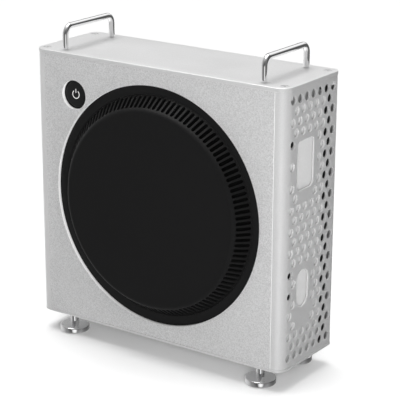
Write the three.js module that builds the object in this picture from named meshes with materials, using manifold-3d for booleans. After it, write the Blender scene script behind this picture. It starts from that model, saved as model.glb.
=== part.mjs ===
// A slim aluminium desktop computer tower on four feet, with a round front grille,
// perforated side shells, two carrying handles and its working parts inside.
// Millimetres. X runs to the right along the front, Y into the depth, Z up.
// The origin is on the floor, under the middle of the whole object.
import * as THREE from 'three';
import { mergeGeometries, mergeVertices } from 'three/addons/utils/BufferGeometryUtils.js';
import Module from 'manifold-3d';

const wasm = await Module();
wasm.setup();

// ---------------------------------------------------------------- driving sizes
const CASE_WIDTH = 320;
const CASE_DEPTH = 105;
const CASE_HEIGHT = 300;
const CLEAR = 0.3; // free play between pieces that meet

// shell
const PLATE = 4; // top plate
const BASE = 2.2; // bottom plate
const FRONT_PLATE = 4;
const SHEET = 2; // bent side shells and rear cover
const OVERHANG = 0.4; // top and bottom plates stand proud of the walls
const SEAM = 0.3; // fine line between a plate and the walls
const FRONT_RADIUS = 13.5;
const REAR_RADIUS = 9;
const REAR_LIP = 6; // flat return of a side shell at the back
const TAB = 10; // tapped corner tabs of the side shells
const TAB_REACH = 4.4; // from the screw to the tab's inner end
const SINK = 0.5; // joined bodies run into each other by this
const OVER = 1; // cutting bodies reach past a face by this

// side perforation and windows, measured back from the front face and up from the base
const HOLE_RADIUS = 4.5;
const HOLE_COLUMNS = 7;
const COLUMN_PITCH = 12.66;
const ROW_PITCH = 11.37;
const HOLE_END_MARGIN = 13.4;
const HOLE_SIDES = 6;
const WEB = 2; // least metal between a hole and a window
const MIDDLE_DROP = 0.6; // grille and perforation sit this far below mid height
const UPPER_WINDOW = { near: 23, far: 55, length: 52, middle: 66.6, radius: 7 };
const LOWER_WINDOW = { near: 27, far: 50, length: 41, middle: -65.9, radius: 11.5 };
const LOWER_BLANK = 13; // metal left unperforated under the lower window
const LINER = 1.2;
const LINER_GAP = 0.6;
const LINER_NEAR = 11.5;
const LINER_FAR = 77;
const LINER_END_MARGIN = 20.5;
const LINER_HOLE_RADIUS = 3.5;

// cooling slots of the rear cover
const VENT_COLUMNS = 2;
const VENT_ROWS = 9;
const VENT_X = 18;
const VENT_RISE = 24; // lowest slot above the middle of the grille
const VENT_LENGTH = 48;
const VENT_HEIGHT = 4.5;
const VENT_COLUMN_PITCH = 56;
const VENT_ROW_PITCH = 10;

// round front grille
const OPENING_RADIUS = 130.7;
const GRILLE_WALL = 2.5;
const GRILLE_PROUD = 13.5; // disc in front of the front panel
const GRILLE_CONE_OUTER = OPENING_RADIUS - 10.4;
const GRILLE_CONE_INNER = OPENING_RADIUS - 22.5;
const GRILLE_CONE_PROUD = 11.4;
const GRILLE_DISC_RADIUS = OPENING_RADIUS - 25.2;
const GRILLE_LAP = 1.8; // flange behind the front panel
const SLOT_COUNT = 120;
const SLOTS_PER_FACET = 3;
const SLOT_WIDTH = 3.5;
const SLOT_INNER = GRILLE_CONE_INNER + 1;
const SLOT_OUTER = GRILLE_CONE_OUTER - 0.9;
const FILTER = 1.2;

// front fan
const FAN_RADIUS = OPENING_RADIUS - 26.7;
const FAN_DEPTH = 20;
const FAN_RING = 4;
const FAN_TIP_GAP = 2.5;
const FAN_HUB = 23;
const FAN_BLADES = 9;
const EAR_RADIUS = 5.5;
const EAR_THICKNESS = 3;
const EAR_OFFSET = 6.5; // ear screws outside the panel opening

// power button
const BUTTON_WEB = 3.5; // panel metal between its hole and the grille opening
const BUTTON_RADIUS = 13.7;
const BUTTON_REVEAL = 2.1; // dark ring round the cap
const BUTTON_SINK = 3.5;
const BUTTON_TRAVEL = 2;
const BUTTON_SEAT = 1.1;
const BUTTON_FLOOR = 16; // inside floor of the housing behind the front face
const BUTTON_WALL = 2; // cap's face and skirt
const BUTTON_SKIRT = 8.5;
const BUTTON_PLUNGER = 11;
const HOUSING_WALL = 1.5;

// handles
const ROD_RADIUS = 3.15;
const HANDLE_X = 126;
const HANDLE_SPAN = 80;
const HANDLE_HEIGHT = 28.4;
const HANDLE_BEND = 9;
const HANDLE_SCREW_RADIUS = 1.5;

// feet
const FOOT_HEIGHT = 23.5;
const FOOT_RADIUS = 16.5;
const FOOT_DISC = 7.5; // height of the disc
const STEM_RADIUS = 4.6;
const COLLAR_RADIUS = 6.5;
const FOOT_X = 125;
const FOOT_INSET = 16;
const STUD_RADIUS = 3;
const STUD_LENGTH = 3.7;

// screws
const SCREW_RADIUS = 2; // M4
const SCREW_HEAD = 3.9;
const TOP_SCREW_EDGE = 9.3;
const TOP_SCREW_INSET = 11.3;
const SCREW_SIDES = 8;
const COVER_SCREW_LENGTH = 10;
const COVER_SCREW_EDGE = 10;
const COVER_SCREW_INSET = 14;

// mainboard side, depths along Y
const BOARD_SIZE = 170;
const BOARD = 1.6;
const STANDOFF = 6;
const STANDOFF_INSET = 6.5;
const TRAY = 1.2;
const TRAY_TO_REAR = 13.5;
const TRAY_END_GAP = 3;
const BOARD_TOP_MARGIN = 8.7;
const BOARD_SIDE_MARGIN = 2.3;
const CPU_X = 75; // from the connector edge of the board
const CPU_Z = 95;
const CPU_SIZE = 38;
const CPU_HEIGHT = 5.7;
const COOLER_SIZE = 95;
const COOLER_BASE = 6;
const COOLER_FINS = 15;
const COOLER_FIN = 1.6;
const COOLER_HEIGHT = 28.7;
const COOLER_FAN_DEPTH = 14;
const COOLER_FAN = 92;
const MODULE_LENGTH = 133;
const MODULE_HEIGHT = 30;
const MODULE_THICKNESS = 5;
const SLOT_BASE = 8;
const PLUG_HEIGHT = 12; // power socket on the board
const HATCH = 70; // opening in the tray behind the processor
const POST_RADIUS = 4; // tapped posts for the cover screws
const PORT_DEPTH = 18;
const PORT_HEIGHT = 22;
const PORT_LENGTH = 148;
const SHIELD_LENGTH = 158.7;
const SHIELD_WIDTH = 44.4;
const SHIELD_PAST_BOARD = 0.5;
const SHIELD = 0.8;
const SHIELD_LIP = 1.5; // the shield is wider than its window by this all round

// power supply
const SUPPLY_LENGTH = 150;
const SUPPLY_HEIGHT = 81.5;
const SUPPLY_DEPTH = 40.5;
const SUPPLY_LIFT = 5.8;
const SUPPLY_WALL = 1.2;
const SUPPLY_FAN_RADIUS = 18;
const INLET_LENGTH = 27.5;
const INLET_WIDTH = 20;
const INLET_DEPTH = 17;
const ROCKER_LENGTH = 17;
const ROCKER_WIDTH = 11;
const ROCKER_TILT = 9;

// drive and cables
const DRIVE = { length: 100, width: 70, thickness: 7, x: 30, drop: 90 };
const HARNESS_RADIUS = 4;
const CABLE_RADIUS = 1.2;
const CABLE_TO_COOLER = 4.27;

// ---------------------------------------------------------------- derived places
const fullDepth = CASE_DEPTH - OVERHANG + GRILLE_PROUD;
const frontY = -fullDepth / 2 + GRILLE_PROUD; // front face of the front panel
const rearY = fullDepth / 2 - OVERHANG; // rear face of the rear cover
const middleY = (frontY + rearY) / 2;
const sideX = CASE_WIDTH / 2 - OVERHANG; // outer face of a side shell
const innerX = sideX - SHEET;
const baseZ = FOOT_HEIGHT;
const topZ = FOOT_HEIGHT + CASE_HEIGHT;
const wallLow = baseZ + BASE + SEAM;
const wallHigh = topZ - PLATE - SEAM;
const centreZ = (baseZ + topZ) / 2 - MIDDLE_DROP;
const frontArc = FRONT_RADIUS - OVERHANG;
const rearArc = REAR_RADIUS - OVERHANG;
const behind = (depth) => frontY + depth;

const flangeY = behind(FRONT_PLATE + CLEAR); // front face of the grille flange
const filterY = flangeY + GRILLE_WALL + CLEAR;
const fanY = filterY + FILTER + CLEAR;
const flangeRadius = OPENING_RADIUS + GRILLE_LAP;
const earCircle = OPENING_RADIUS + EAR_OFFSET;
const buttonHole = BUTTON_RADIUS + BUTTON_REVEAL;
const buttonReach = (OPENING_RADIUS + BUTTON_WEB + buttonHole) * Math.SQRT1_2;
const buttonX = -buttonReach;
const buttonZ = centreZ + buttonReach;

const trayY = rearY - TRAY_TO_REAR - TRAY; // front face of the tray
const boardY = trayY - STANDOFF - 2 * CLEAR - BOARD; // front face of the board
const boardX = -innerX + BOARD_SIDE_MARGIN; // connector edge of the board
const boardZ = wallHigh - BOARD_TOP_MARGIN - BOARD_SIZE;
const cpuX = boardX + CPU_X;
const cpuZ = boardZ + CPU_Z;
const coolerY = boardY - 2 * CLEAR - CPU_HEIGHT - COOLER_HEIGHT;
const coolerFanY = coolerY - CLEAR - COOLER_FAN_DEPTH;
const shieldZ = boardZ + BOARD_SIZE / 2;
const shieldY = boardY + SHIELD_PAST_BOARD - SHIELD_WIDTH / 2;
const supplyX = -innerX + CLEAR;
const supplyY = trayY - CLEAR - SUPPLY_DEPTH;
const supplyZ = baseZ + BASE + SUPPLY_LIFT;

// ---------------------------------------------------------------- finishes
const finish = (color, roughness, metalness) =>
  new THREE.MeshStandardMaterial({ color, roughness, metalness });
const blasted = finish(0xc6c8ca, 0.42, 0.9);
const sheetWhite = finish(0xd9dadb, 0.5, 0.2);
const chrome = finish(0xe6e6e8, 0.08, 1);
const blackPlastic = finish(0x16171a, 0.55, 0);
const greyPlastic = finish(0x3a3c40, 0.6, 0);
const blackSteel = finish(0x1d1e20, 0.5, 0.6);
const zinc = finish(0x9a9ca0, 0.35, 0.9);
const boardBlack = finish(0x14201b, 0.45, 0.1);
const finAluminium = finish(0xb4b6ba, 0.35, 0.95);
const cableBlack = finish(0x0d0d0e, 0.7, 0);

// ---------------------------------------------------------------- shape helpers
const tower = new THREE.Group();

function add(name, geometry, material, x = 0, y = 0, z = 0) {
  const mesh = new THREE.Mesh(geometry, material);
  mesh.name = name;
  mesh.position.set(x, y, z);
  tower.add(mesh);
}

// Closed, merged copy of a geometry without empty triangles, faces pointing out.
function closed(geometry) {
  const bare = geometry.clone();
  for (const key of Object.keys(bare.attributes)) {
    if (key !== 'position') bare.deleteAttribute(key);
  }
  const merged = mergeVertices(bare, 1e-4);
  const p = merged.attributes.position;
  const index = merged.index.array;
  const a = new THREE.Vector3();
  const b = new THREE.Vector3();
  const c = new THREE.Vector3();
  const kept = [];
  let volume = 0;
  for (let i = 0; i < index.length; i += 3) {
    const [u, v, w] = [index[i], index[i + 1], index[i + 2]];
    if (u === v || v === w || w === u) continue;
    kept.push([u, v, w]);
    a.fromBufferAttribute(p, u);
    b.fromBufferAttribute(p, v);
    c.fromBufferAttribute(p, w);
    volume += a.dot(b.cross(c));
  }
  merged.setIndex(kept.flatMap(([u, v, w]) => (volume < 0 ? [u, w, v] : [u, v, w])));
  return merged;
}

function solid(geometry) {
  const g = closed(geometry);
  const vertProperties = new Float32Array(g.attributes.position.array);
  const triVerts = new Uint32Array(g.index.array);
  return new wasm.Manifold(new wasm.Mesh({ numProp: 3, vertProperties, triVerts }));
}

function geometryOf(manifold) {
  const mesh = manifold.getMesh();
  const geometry = new THREE.BufferGeometry();
  geometry.setAttribute('position', new THREE.BufferAttribute(mesh.vertProperties, 3));
  geometry.setIndex(new THREE.BufferAttribute(mesh.triVerts, 1));
  return geometry;
}

const cut = (geometry, ...tools) =>
  geometryOf(tools.reduce((body, tool) => body.subtract(solid(tool)), solid(geometry)));
const join = (geometry, ...others) =>
  geometryOf(others.reduce((body, other) => body.add(solid(other)), solid(geometry)));

// Box between two opposite corners.
function box(x0, x1, y0, y1, z0, z1) {
  const g = new THREE.BoxGeometry(x1 - x0, y1 - y0, z1 - z0);
  return g.translate((x0 + x1) / 2, (y0 + y1) / 2, (z0 + z1) / 2);
}

function polygon(radius, sides, x = 0, y = 0, turn = 0.5) {
  return Array.from({ length: sides }, (_, i) => {
    const angle = ((i + turn) / sides) * 2 * Math.PI;
    return new THREE.Vector2(x + radius * Math.cos(angle), y + radius * Math.sin(angle));
  });
}

function arc(x, y, radius, from, to, steps) {
  return Array.from({ length: steps + 1 }, (_, i) => {
    const angle = THREE.MathUtils.degToRad(from + ((to - from) * i) / steps);
    return new THREE.Vector2(x + radius * Math.cos(angle), y + radius * Math.sin(angle));
  });
}

function roundedRectangle(x0, x1, y0, y1, r, steps = 4) {
  return [
    ...arc(x1 - r, y0 + r, r, -90, 0, steps),
    ...arc(x1 - r, y1 - r, r, 0, 90, steps),
    ...arc(x0 + r, y1 - r, r, 90, 180, steps),
    ...arc(x0 + r, y0 + r, r, 180, 270, steps),
  ];
}

const rectangle = (x0, x1, y0, y1) =>
  [[x0, y0], [x1, y0], [x1, y1], [x0, y1]].map(([x, y]) => new THREE.Vector2(x, y));

// Prism of an outline with holes, standing on the plane of its outline.
function prism(outline, height, holes = []) {
  const shape = new THREE.Shape(outline);
  shape.holes = holes.map((points) => new THREE.Path(points));
  return new THREE.ExtrudeGeometry(shape, { depth: height, bevelEnabled: false });
}

// Prism drawn in X and Z, its thickness running back along Y.
function frontPrism(outline, thickness, holes = []) {
  return prism(outline, thickness, holes).rotateX(Math.PI / 2).translate(0, thickness, 0);
}

// Prism drawn in Y and Z, its thickness running along X.
function sidePrism(outline, thickness, holes = []) {
  const turn = new THREE.Matrix4().makeBasis(
    new THREE.Vector3(0, 1, 0),
    new THREE.Vector3(0, 0, 1),
    new THREE.Vector3(1, 0, 0),
  );
  return prism(outline, thickness, holes).applyMatrix4(turn);
}

// Turned piece: pairs of radius and place along the axis.
function turned(profile, segments) {
  return new THREE.LatheGeometry(profile.map(([r, s]) => new THREE.Vector2(r, s)), segments);
}
const turnedZ = (profile, segments) => turned(profile, segments).rotateX(Math.PI / 2);
const rod = (radius, y0, y1, sides = SCREW_SIDES) =>
  turned([[0, y0], [radius, y0], [radius, y1], [0, y1]], sides);
const rodZ = (radius, z0, z1, sides = SCREW_SIDES) => rod(radius, z0, z1, sides).rotateX(Math.PI / 2);

// Hub with twisted blades, turning about Y, from y = 0 to y = depth.
function rotor(hub, tip, depth, count, pitch, bore) {
  const body = turned([[0, 0], [hub - 2, 0], [hub, 2], [hub, depth], [0, depth]], 16);
  const span = tip - hub + 2;
  const twist = 14;
  const chord = (depth - 2) / Math.sin(THREE.MathUtils.degToRad(pitch + twist / 2));
  const blades = Array.from({ length: count }, (_, i) => {
    const blade = new THREE.BoxGeometry(span, chord, 1.4, 2, 1, 1);
    const p = blade.attributes.position;
    for (let k = 0; k < p.count; k += 1) {
      const along = p.getX(k) / span; // -0.5 at the hub, 0.5 at the tip
      const angle = THREE.MathUtils.degToRad(90 - pitch + along * twist);
      const [y, z] = [p.getY(k), p.getZ(k)];
      p.setY(k, y * Math.cos(angle) - z * Math.sin(angle));
      p.setZ(k, y * Math.sin(angle) + z * Math.cos(angle));
    }
    blade.translate(hub - 2 + span / 2, depth / 2, 0);
    return blade.rotateY((i / count) * 2 * Math.PI);
  });
  return cut(join(body, ...blades), rod(bore, depth - 6, depth + 1, 8));
}

// Socket screw along Z: its head's top face at z = 0, the shank below.
function countersunkScrew(length) {
  const cone = SCREW_HEAD - SCREW_RADIUS;
  const profile = [[0, -length], [SCREW_RADIUS, -length], [SCREW_RADIUS, -cone]];
  profile.push([SCREW_HEAD, 0], [0, 0]);
  return cut(turnedZ(profile, SCREW_SIDES), rodZ(SCREW_RADIUS * 0.65, -1.6, 1, 6));
}
const countersink = () => {
  const cone = SCREW_HEAD - SCREW_RADIUS;
  const r = SCREW_RADIUS + CLEAR;
  const profile = [[0, -20], [r, -20], [r, -cone - CLEAR], [SCREW_HEAD + CLEAR, -CLEAR]];
  profile.push([SCREW_HEAD + CLEAR, 1], [0, 1]);
  return turnedZ(profile, SCREW_SIDES);
};

// Cap screw along Y: the head's rear face at y = 0, the shank towards the front.
function capScrew(radius, head, headDepth, length) {
  const profile = [[0, -headDepth - length], [radius, -headDepth - length]];
  profile.push([radius, -headDepth], [head, -headDepth], [head, 0], [0, 0]);
  return cut(turned(profile, SCREW_SIDES), rod(radius * 0.65, -headDepth * 0.6, 1, 6));
}

function tube(points, outline, steps) {
  const path = new THREE.CatmullRomCurve3(points.map((p) => new THREE.Vector3(...p)));
  const options = { steps, extrudePath: path, bevelEnabled: false };
  return new THREE.ExtrudeGeometry(new THREE.Shape(outline), options);
}

// ---------------------------------------------------------------- shell
const plateOutline = () => {
  const [x, y0, y1] = [CASE_WIDTH / 2, frontY - OVERHANG, rearY + OVERHANG];
  return [
    ...arc(x - REAR_RADIUS, y1 - REAR_RADIUS, REAR_RADIUS, 0, 90, 5),
    ...arc(-x + REAR_RADIUS, y1 - REAR_RADIUS, REAR_RADIUS, 90, 180, 5),
    ...arc(-x + FRONT_RADIUS, y0 + FRONT_RADIUS, FRONT_RADIUS, 180, 270, 7),
    ...arc(x - FRONT_RADIUS, y0 + FRONT_RADIUS, FRONT_RADIUS, 270, 360, 7),
  ];
};
const footPlaces = [
  ['front_left', -FOOT_X, behind(FOOT_INSET)],
  ['front_right', FOOT_X, behind(FOOT_INSET)],
  ['rear_left', -FOOT_X, rearY - FOOT_INSET],
  ['rear_right', FOOT_X, rearY - FOOT_INSET],
];
const topScrewX = CASE_WIDTH / 2 - TOP_SCREW_EDGE;
const topScrewPlaces = [
  ['front_left', -topScrewX, behind(TOP_SCREW_INSET)],
  ['front_right', topScrewX, behind(TOP_SCREW_INSET)],
  ['rear_left', -topScrewX, rearY - TOP_SCREW_INSET],
  ['rear_right', topScrewX, rearY - TOP_SCREW_INSET],
];
const handleLegs = [middleY - HANDLE_SPAN / 2, middleY + HANDLE_SPAN / 2];

function topPlate() {
  const handleHoles = [-HANDLE_X, HANDLE_X].flatMap((x) =>
    handleLegs.map((y) => polygon(HANDLE_SCREW_RADIUS + CLEAR, 8, x, y)));
  const plate = prism(plateOutline(), PLATE, handleHoles);
  const sinks = topScrewPlaces.map(([, x, y]) => countersink().translate(x, y, PLATE));
  return cut(plate, ...sinks);
}

function bottomPlate() {
  const studHoles = footPlaces.map(([, x, y]) => polygon(STUD_RADIUS + CLEAR, 10, x, y));
  return prism(plateOutline(), BASE, studHoles);
}

function frontPanel() {
  const x = CASE_WIDTH / 2 - FRONT_RADIUS - CLEAR / 2;
  const outline = rectangle(-x, x, wallLow, wallHigh);
  const opening = polygon(OPENING_RADIUS, 60, 0, centreZ);
  const hole = polygon(buttonHole, 24, buttonX, buttonZ);
  const panel = frontPrism(outline, FRONT_PLATE, [opening, hole]).translate(0, frontY, 0);
  return cut(panel, ...earPlaces.map(([, ex, ez]) =>
    rod(SCREW_RADIUS + CLEAR, frontY + 1.2, frontY + FRONT_PLATE + 1, 8).translate(ex, 0, ez)));
}

const earPlaces = [['right', 0], ['top', 90], ['left', 180], ['bottom', 270]].map(([name, turn]) => {
  const angle = THREE.MathUtils.degToRad(turn);
  return [name, earCircle * Math.cos(angle), centreZ + earCircle * Math.sin(angle), turn];
});

// Plan outline of a side shell, right-hand side.
function shellOutline() {
  const [fx, fy] = [sideX - frontArc, frontY + frontArc];
  const [rx, ry] = [sideX - rearArc, rearY - rearArc];
  return [
    ...arc(fx, fy, frontArc, -90, 0, 5),
    ...arc(rx, ry, rearArc, 0, 90, 4),
    new THREE.Vector2(rx - REAR_LIP, rearY),
    new THREE.Vector2(rx - REAR_LIP, rearY - SHEET),
    ...arc(rx, ry, rearArc - SHEET, 90, 0, 4),
    ...arc(fx, fy, frontArc - SHEET, 0, -90, 5),
  ];
}

// Centres of the staggered side holes, leaving out those too near a blank area.
function holeCentres(blanks) {
  const rows = 1 + Math.floor((CASE_HEIGHT - 2 * HOLE_END_MARGIN) / ROW_PITCH);
  const centres = [];
  for (let row = 0; row < rows; row += 1) {
    const odd = row % 2;
    const z = centreZ + (row - (rows - 1) / 2) * ROW_PITCH;
    for (let column = 0; column < HOLE_COLUMNS - odd; column += 1) {
      const y = middleY + (column + odd / 2 - (HOLE_COLUMNS - 1) / 2) * COLUMN_PITCH;
      const free = blanks.every(([y0, y1, z0, z1]) => {
        const dy = Math.max(y0 - y, 0, y - y1);
        const dz = Math.max(z0 - z, 0, z - z1);
        return Math.hypot(dy, dz) > HOLE_RADIUS + WEB;
      });
      if (free) centres.push([y, z]);
    }
  }
  return centres;
}

const windowBox = ({ near, far, length, middle }) => {
  const z = centreZ + middle;
  return [behind(near), behind(far), z - length / 2, z + length / 2];
};
const windowOutline = (window) => roundedRectangle(...windowBox(window), window.radius, 4);

function sideShell(sign, blanks, openings) {
  const shell = prism(shellOutline(), wallHigh - wallLow).translate(0, 0, wallLow);
  const corners = topScrewPlaces.filter(([, x]) => x > 0);
  const tabs = corners.map(([, x, y]) =>
    box(x - TAB_REACH, innerX + SINK, y - TAB / 2, y + TAB / 2, wallHigh - TAB, wallHigh));
  const body = join(shell, ...tabs);
  const drills = holeCentres(blanks).map(([y, z]) => polygon(HOLE_RADIUS, HOLE_SIDES, y, z, 0));
  const reach = sideX - frontArc / 2;
  const tools = mergeGeometries([...drills, ...openings].map((outline) =>
    sidePrism(outline, frontArc).translate(reach, 0, 0)));
  const taps = corners.map(([, x, y]) =>
    rodZ(SCREW_RADIUS + CLEAR, wallHigh - TAB - OVER, wallHigh + OVER, 8).translate(x, y, 0));
  const shellSolid = cut(body, tools, ...taps);
  return sign > 0 ? shellSolid : closed(shellSolid.scale(-1, 1, 1));
}

const upperBox = windowBox(UPPER_WINDOW);
const lowerBox = windowBox(LOWER_WINDOW);
const lowerBlank = [lowerBox[0], lowerBox[1], lowerBox[2] - LOWER_BLANK, lowerBox[3]];
const shieldWindow = [
  shieldY - SHIELD_WIDTH / 2 + SHIELD_LIP,
  shieldY + SHIELD_WIDTH / 2 - SHIELD_LIP,
  shieldZ - SHIELD_LENGTH / 2 + SHIELD_LIP,
  shieldZ + SHIELD_LENGTH / 2 - SHIELD_LIP,
];
const supplyWindow = [
  supplyY + SHIELD_LIP,
  supplyY + SUPPLY_DEPTH - SHIELD_LIP,
  supplyZ + SHIELD_LIP,
  supplyZ + SUPPLY_HEIGHT - SHIELD_LIP,
];

add('front_panel', frontPanel(), blasted);
add('top_plate', topPlate(), blasted, 0, 0, topZ - PLATE);
add('bottom_plate', bottomPlate(), blasted, 0, 0, baseZ);
const sideWindows = [windowOutline(UPPER_WINDOW), windowOutline(LOWER_WINDOW)];
add('right_side_shell', sideShell(1, [upperBox, lowerBlank], sideWindows), blasted);
const portWindows = [shieldWindow, supplyWindow].map((w) => rectangle(...w));
const beside = [frontY, shieldWindow[1], shieldWindow[2], shieldWindow[3]];
add('left_side_shell', sideShell(-1, [beside, supplyWindow], portWindows), blasted);

// light sheet close behind the right-hand perforation
function liner() {
  const x = innerX - LINER_GAP - LINER;
  const [y0, y1] = [behind(LINER_NEAR), behind(LINER_FAR)];
  const [z0, z1] = [baseZ + 2 * LINER_END_MARGIN, topZ - LINER_END_MARGIN];
  const upper = upperBox[0] - LINER_HOLE_RADIUS;
  const lower = lowerBox[0] - 2 * LINER_HOLE_RADIUS;
  const holes = [
    [upper - 2, upperBox[3] - 2], [upper + 3, upperBox[2] + 16],
    [lower - 3, lowerBox[3] - 2], [lower - 3, lowerBox[2] + 16],
  ].map(([y, z]) => polygon(LINER_HOLE_RADIUS, 10, y, z));
  return sidePrism(roundedRectangle(y0, y1, z0, z1, 2, 1), LINER, holes).translate(x, 0, 0);
}
add('right_inner_liner', liner(), sheetWhite);

// rear cover with vent slots, lifted off backwards
const coverHalf = sideX - rearArc - REAR_LIP - CLEAR;
const coverScrewX = coverHalf - COVER_SCREW_EDGE;
const coverScrewHigh = wallHigh - COVER_SCREW_INSET;
const coverScrewLow = wallLow + COVER_SCREW_INSET;
const coverScrews = [
  ['upper_left', -coverScrewX, coverScrewHigh], ['upper_right', coverScrewX, coverScrewHigh],
  ['lower_left', -coverScrewX, coverScrewLow], ['lower_right', coverScrewX, coverScrewLow],
];
function rearCover() {
  const outline = rectangle(-coverHalf, coverHalf, wallLow, wallHigh);
  const slots = [];
  for (let column = 0; column < VENT_COLUMNS; column += 1) {
    for (let row = 0; row < VENT_ROWS; row += 1) {
      const x = VENT_X + column * VENT_COLUMN_PITCH;
      const z = centreZ + VENT_RISE + row * VENT_ROW_PITCH;
      slots.push(box(x, x + VENT_LENGTH, -OVER, SHEET + OVER, z, z + VENT_HEIGHT));
    }
  }
  const sinks = coverScrews.map(([, x, z]) =>
    countersink().rotateX(-Math.PI / 2).translate(x, SHEET, z));
  const sheet = cut(frontPrism(outline, SHEET), mergeGeometries(slots), ...sinks);
  return sheet.translate(0, rearY - SHEET, 0);
}
add('rear_cover', rearCover(), blasted);
for (const [place, x, z] of coverScrews) {
  const screw = countersunkScrew(COVER_SCREW_LENGTH).rotateX(-Math.PI / 2);
  add(`rear_cover_screw_${place}`, screw, zinc, x, rearY - CLEAR, z);
}

// ---------------------------------------------------------------- grille
const faceY = frontY - GRILLE_PROUD;
const earTurns = earPlaces.map(([, , , turn]) => THREE.MathUtils.degToRad(-turn));

// flat dark ring behind the edge of the panel opening, with four screw ears
function grilleBezel() {
  const inner = GRILLE_CONE_OUTER + CLEAR;
  const ring = turned([
    [inner, 0], [flangeRadius, 0], [flangeRadius, GRILLE_WALL], [inner, GRILLE_WALL], [inner, 0],
  ], 60);
  const ears = earTurns.map((turn) =>
    box(OPENING_RADIUS - 2, earCircle + EAR_RADIUS, 0, GRILLE_WALL, -EAR_RADIUS, EAR_RADIUS)
      .rotateY(turn));
  const bolts = earTurns.map((turn) =>
    rod(SCREW_RADIUS + CLEAR, -1, GRILLE_WALL + 1, 8).translate(earCircle, 0, 0).rotateY(turn));
  return cut(join(ring, ...ears), ...bolts);
}
add('grille_bezel', grilleBezel(), blackPlastic, 0, flangeY, centreZ);

// proud black disc with a slotted cone round it
function frontGrille() {
  const coneTop = frontY - GRILLE_CONE_PROUD;
  const edge = flangeY + GRILLE_WALL;
  const profile = [
    [0, faceY], [GRILLE_DISC_RADIUS, faceY], [GRILLE_CONE_INNER, coneTop],
    [GRILLE_CONE_OUTER, flangeY], [GRILLE_CONE_OUTER, edge],
    [GRILLE_CONE_OUTER - 0.2, edge],
    [GRILLE_CONE_INNER - GRILLE_WALL, coneTop + GRILLE_WALL], [0, faceY + GRILLE_WALL],
  ];
  const slot = box(SLOT_INNER, SLOT_OUTER, faceY - 5, edge + 5, -SLOT_WIDTH / 2, SLOT_WIDTH / 2);
  const pitch = (2 * Math.PI) / SLOT_COUNT;
  const slots = Array.from({ length: SLOT_COUNT }, (_, i) => slot.clone().rotateY((i + 0.5) * pitch));
  return cut(turned(profile, SLOT_COUNT / SLOTS_PER_FACET), mergeGeometries(slots));
}
add('front_grille', frontGrille(), blackPlastic, 0, 0, centreZ);

const filterRadius = flangeRadius - 2 * GRILLE_LAP;
add('dust_filter', rod(filterRadius, 0, FILTER, 40), cableBlack, 0, filterY, centreZ);

// ---------------------------------------------------------------- front fan
function fanFrame() {
  const inner = FAN_RADIUS - FAN_RING;
  const ring = turned([
    [inner, 0], [FAN_RADIUS, 0], [FAN_RADIUS, FAN_DEPTH], [inner, FAN_DEPTH], [inner, 0],
  ], 32);
  const strut = 2.5;
  const struts = [45, 135].map((turn) =>
    box(-inner - 1, inner + 1, FAN_DEPTH - strut, FAN_DEPTH, -4, 4)
      .rotateY(THREE.MathUtils.degToRad(turn)));
  const motor = rod(FAN_HUB, FAN_DEPTH - strut, FAN_DEPTH, 16);
  const shaft = rod(2, FAN_DEPTH - strut - 5, FAN_DEPTH - 1);
  const ears = earPlaces.map(([, , , turn]) => {
    const bar = box(FAN_RADIUS - 2, earCircle + EAR_RADIUS, 0, EAR_THICKNESS, -EAR_RADIUS, EAR_RADIUS);
    return bar.rotateY(THREE.MathUtils.degToRad(-turn));
  });
  const bolts = earPlaces.map(([, , , turn]) =>
    rod(SCREW_RADIUS + CLEAR, -1, EAR_THICKNESS + 1, 8).translate(earCircle, 0, 0)
      .rotateY(THREE.MathUtils.degToRad(-turn)));
  return cut(join(ring, ...struts, motor, shaft, ...ears), ...bolts);
}
add('front_fan_frame', fanFrame(), greyPlastic, 0, fanY, centreZ);
const fanTip = FAN_RADIUS - FAN_RING - FAN_TIP_GAP;
const fanRotor = rotor(FAN_HUB - 1, fanTip, FAN_DEPTH - 4, FAN_BLADES, 38, 2 + CLEAR);
add('front_fan_rotor', fanRotor, blackPlastic, 0, fanY + 1, centreZ);
const fanScrewHead = 3;
for (const [place, x, z] of earPlaces) {
  const rear = fanY + EAR_THICKNESS + CLEAR + fanScrewHead;
  const length = rear - fanScrewHead - (frontY + 1.6);
  add(`fan_screw_${place}`, capScrew(SCREW_RADIUS, 3.6, fanScrewHead, length), zinc, x, rear, z);
}

// ---------------------------------------------------------------- power button
const capFace = behind(BUTTON_SINK);
const housingY = behind(FRONT_PLATE + CLEAR);
const floorY = behind(BUTTON_FLOOR);
function buttonCap() {
  const r = BUTTON_RADIUS;
  return turned([
    [0, 0], [r - 0.6, 0], [r, 0.6], [r, BUTTON_SKIRT], [r - BUTTON_WALL, BUTTON_SKIRT],
    [r - BUTTON_WALL, BUTTON_WALL], [2, BUTTON_WALL], [2, BUTTON_PLUNGER], [0, BUTTON_PLUNGER],
  ], 18);
}
add('power_button_cap', buttonCap(), blackPlastic, buttonX, capFace, buttonZ);
function buttonHousing() {
  const bore = BUTTON_RADIUS + CLEAR;
  const depth = floorY - housingY;
  const [seat, wall] = [buttonHole + BUTTON_SEAT, HOUSING_WALL];
  const guide = 2 + 2 * CLEAR;
  return turned([
    [bore, 0], [seat, 0], [seat, wall], [bore + wall, wall], [bore + wall, depth + wall],
    [guide, depth + wall], [guide, depth], [bore, depth], [bore, 0],
  ], 18);
}
add('button_housing', buttonHousing(), blackPlastic, buttonX, housingY, buttonZ);
const SPRING_WIRE = 0.4;
const springY = capFace + BUTTON_WALL + CLEAR + SPRING_WIRE;
function buttonSpring() {
  const [turns, radius] = [4, 6];
  const length = floorY - capFace - BUTTON_WALL - 2 * CLEAR - 2 * SPRING_WIRE;
  const points = Array.from({ length: turns * 8 + 1 }, (_, i) => {
    const angle = (i / 8) * 2 * Math.PI;
    return [radius * Math.cos(angle), (length * i) / (turns * 8), radius * Math.sin(angle)];
  });
  return tube(points, polygon(SPRING_WIRE, 4), turns * 9);
}
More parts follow.
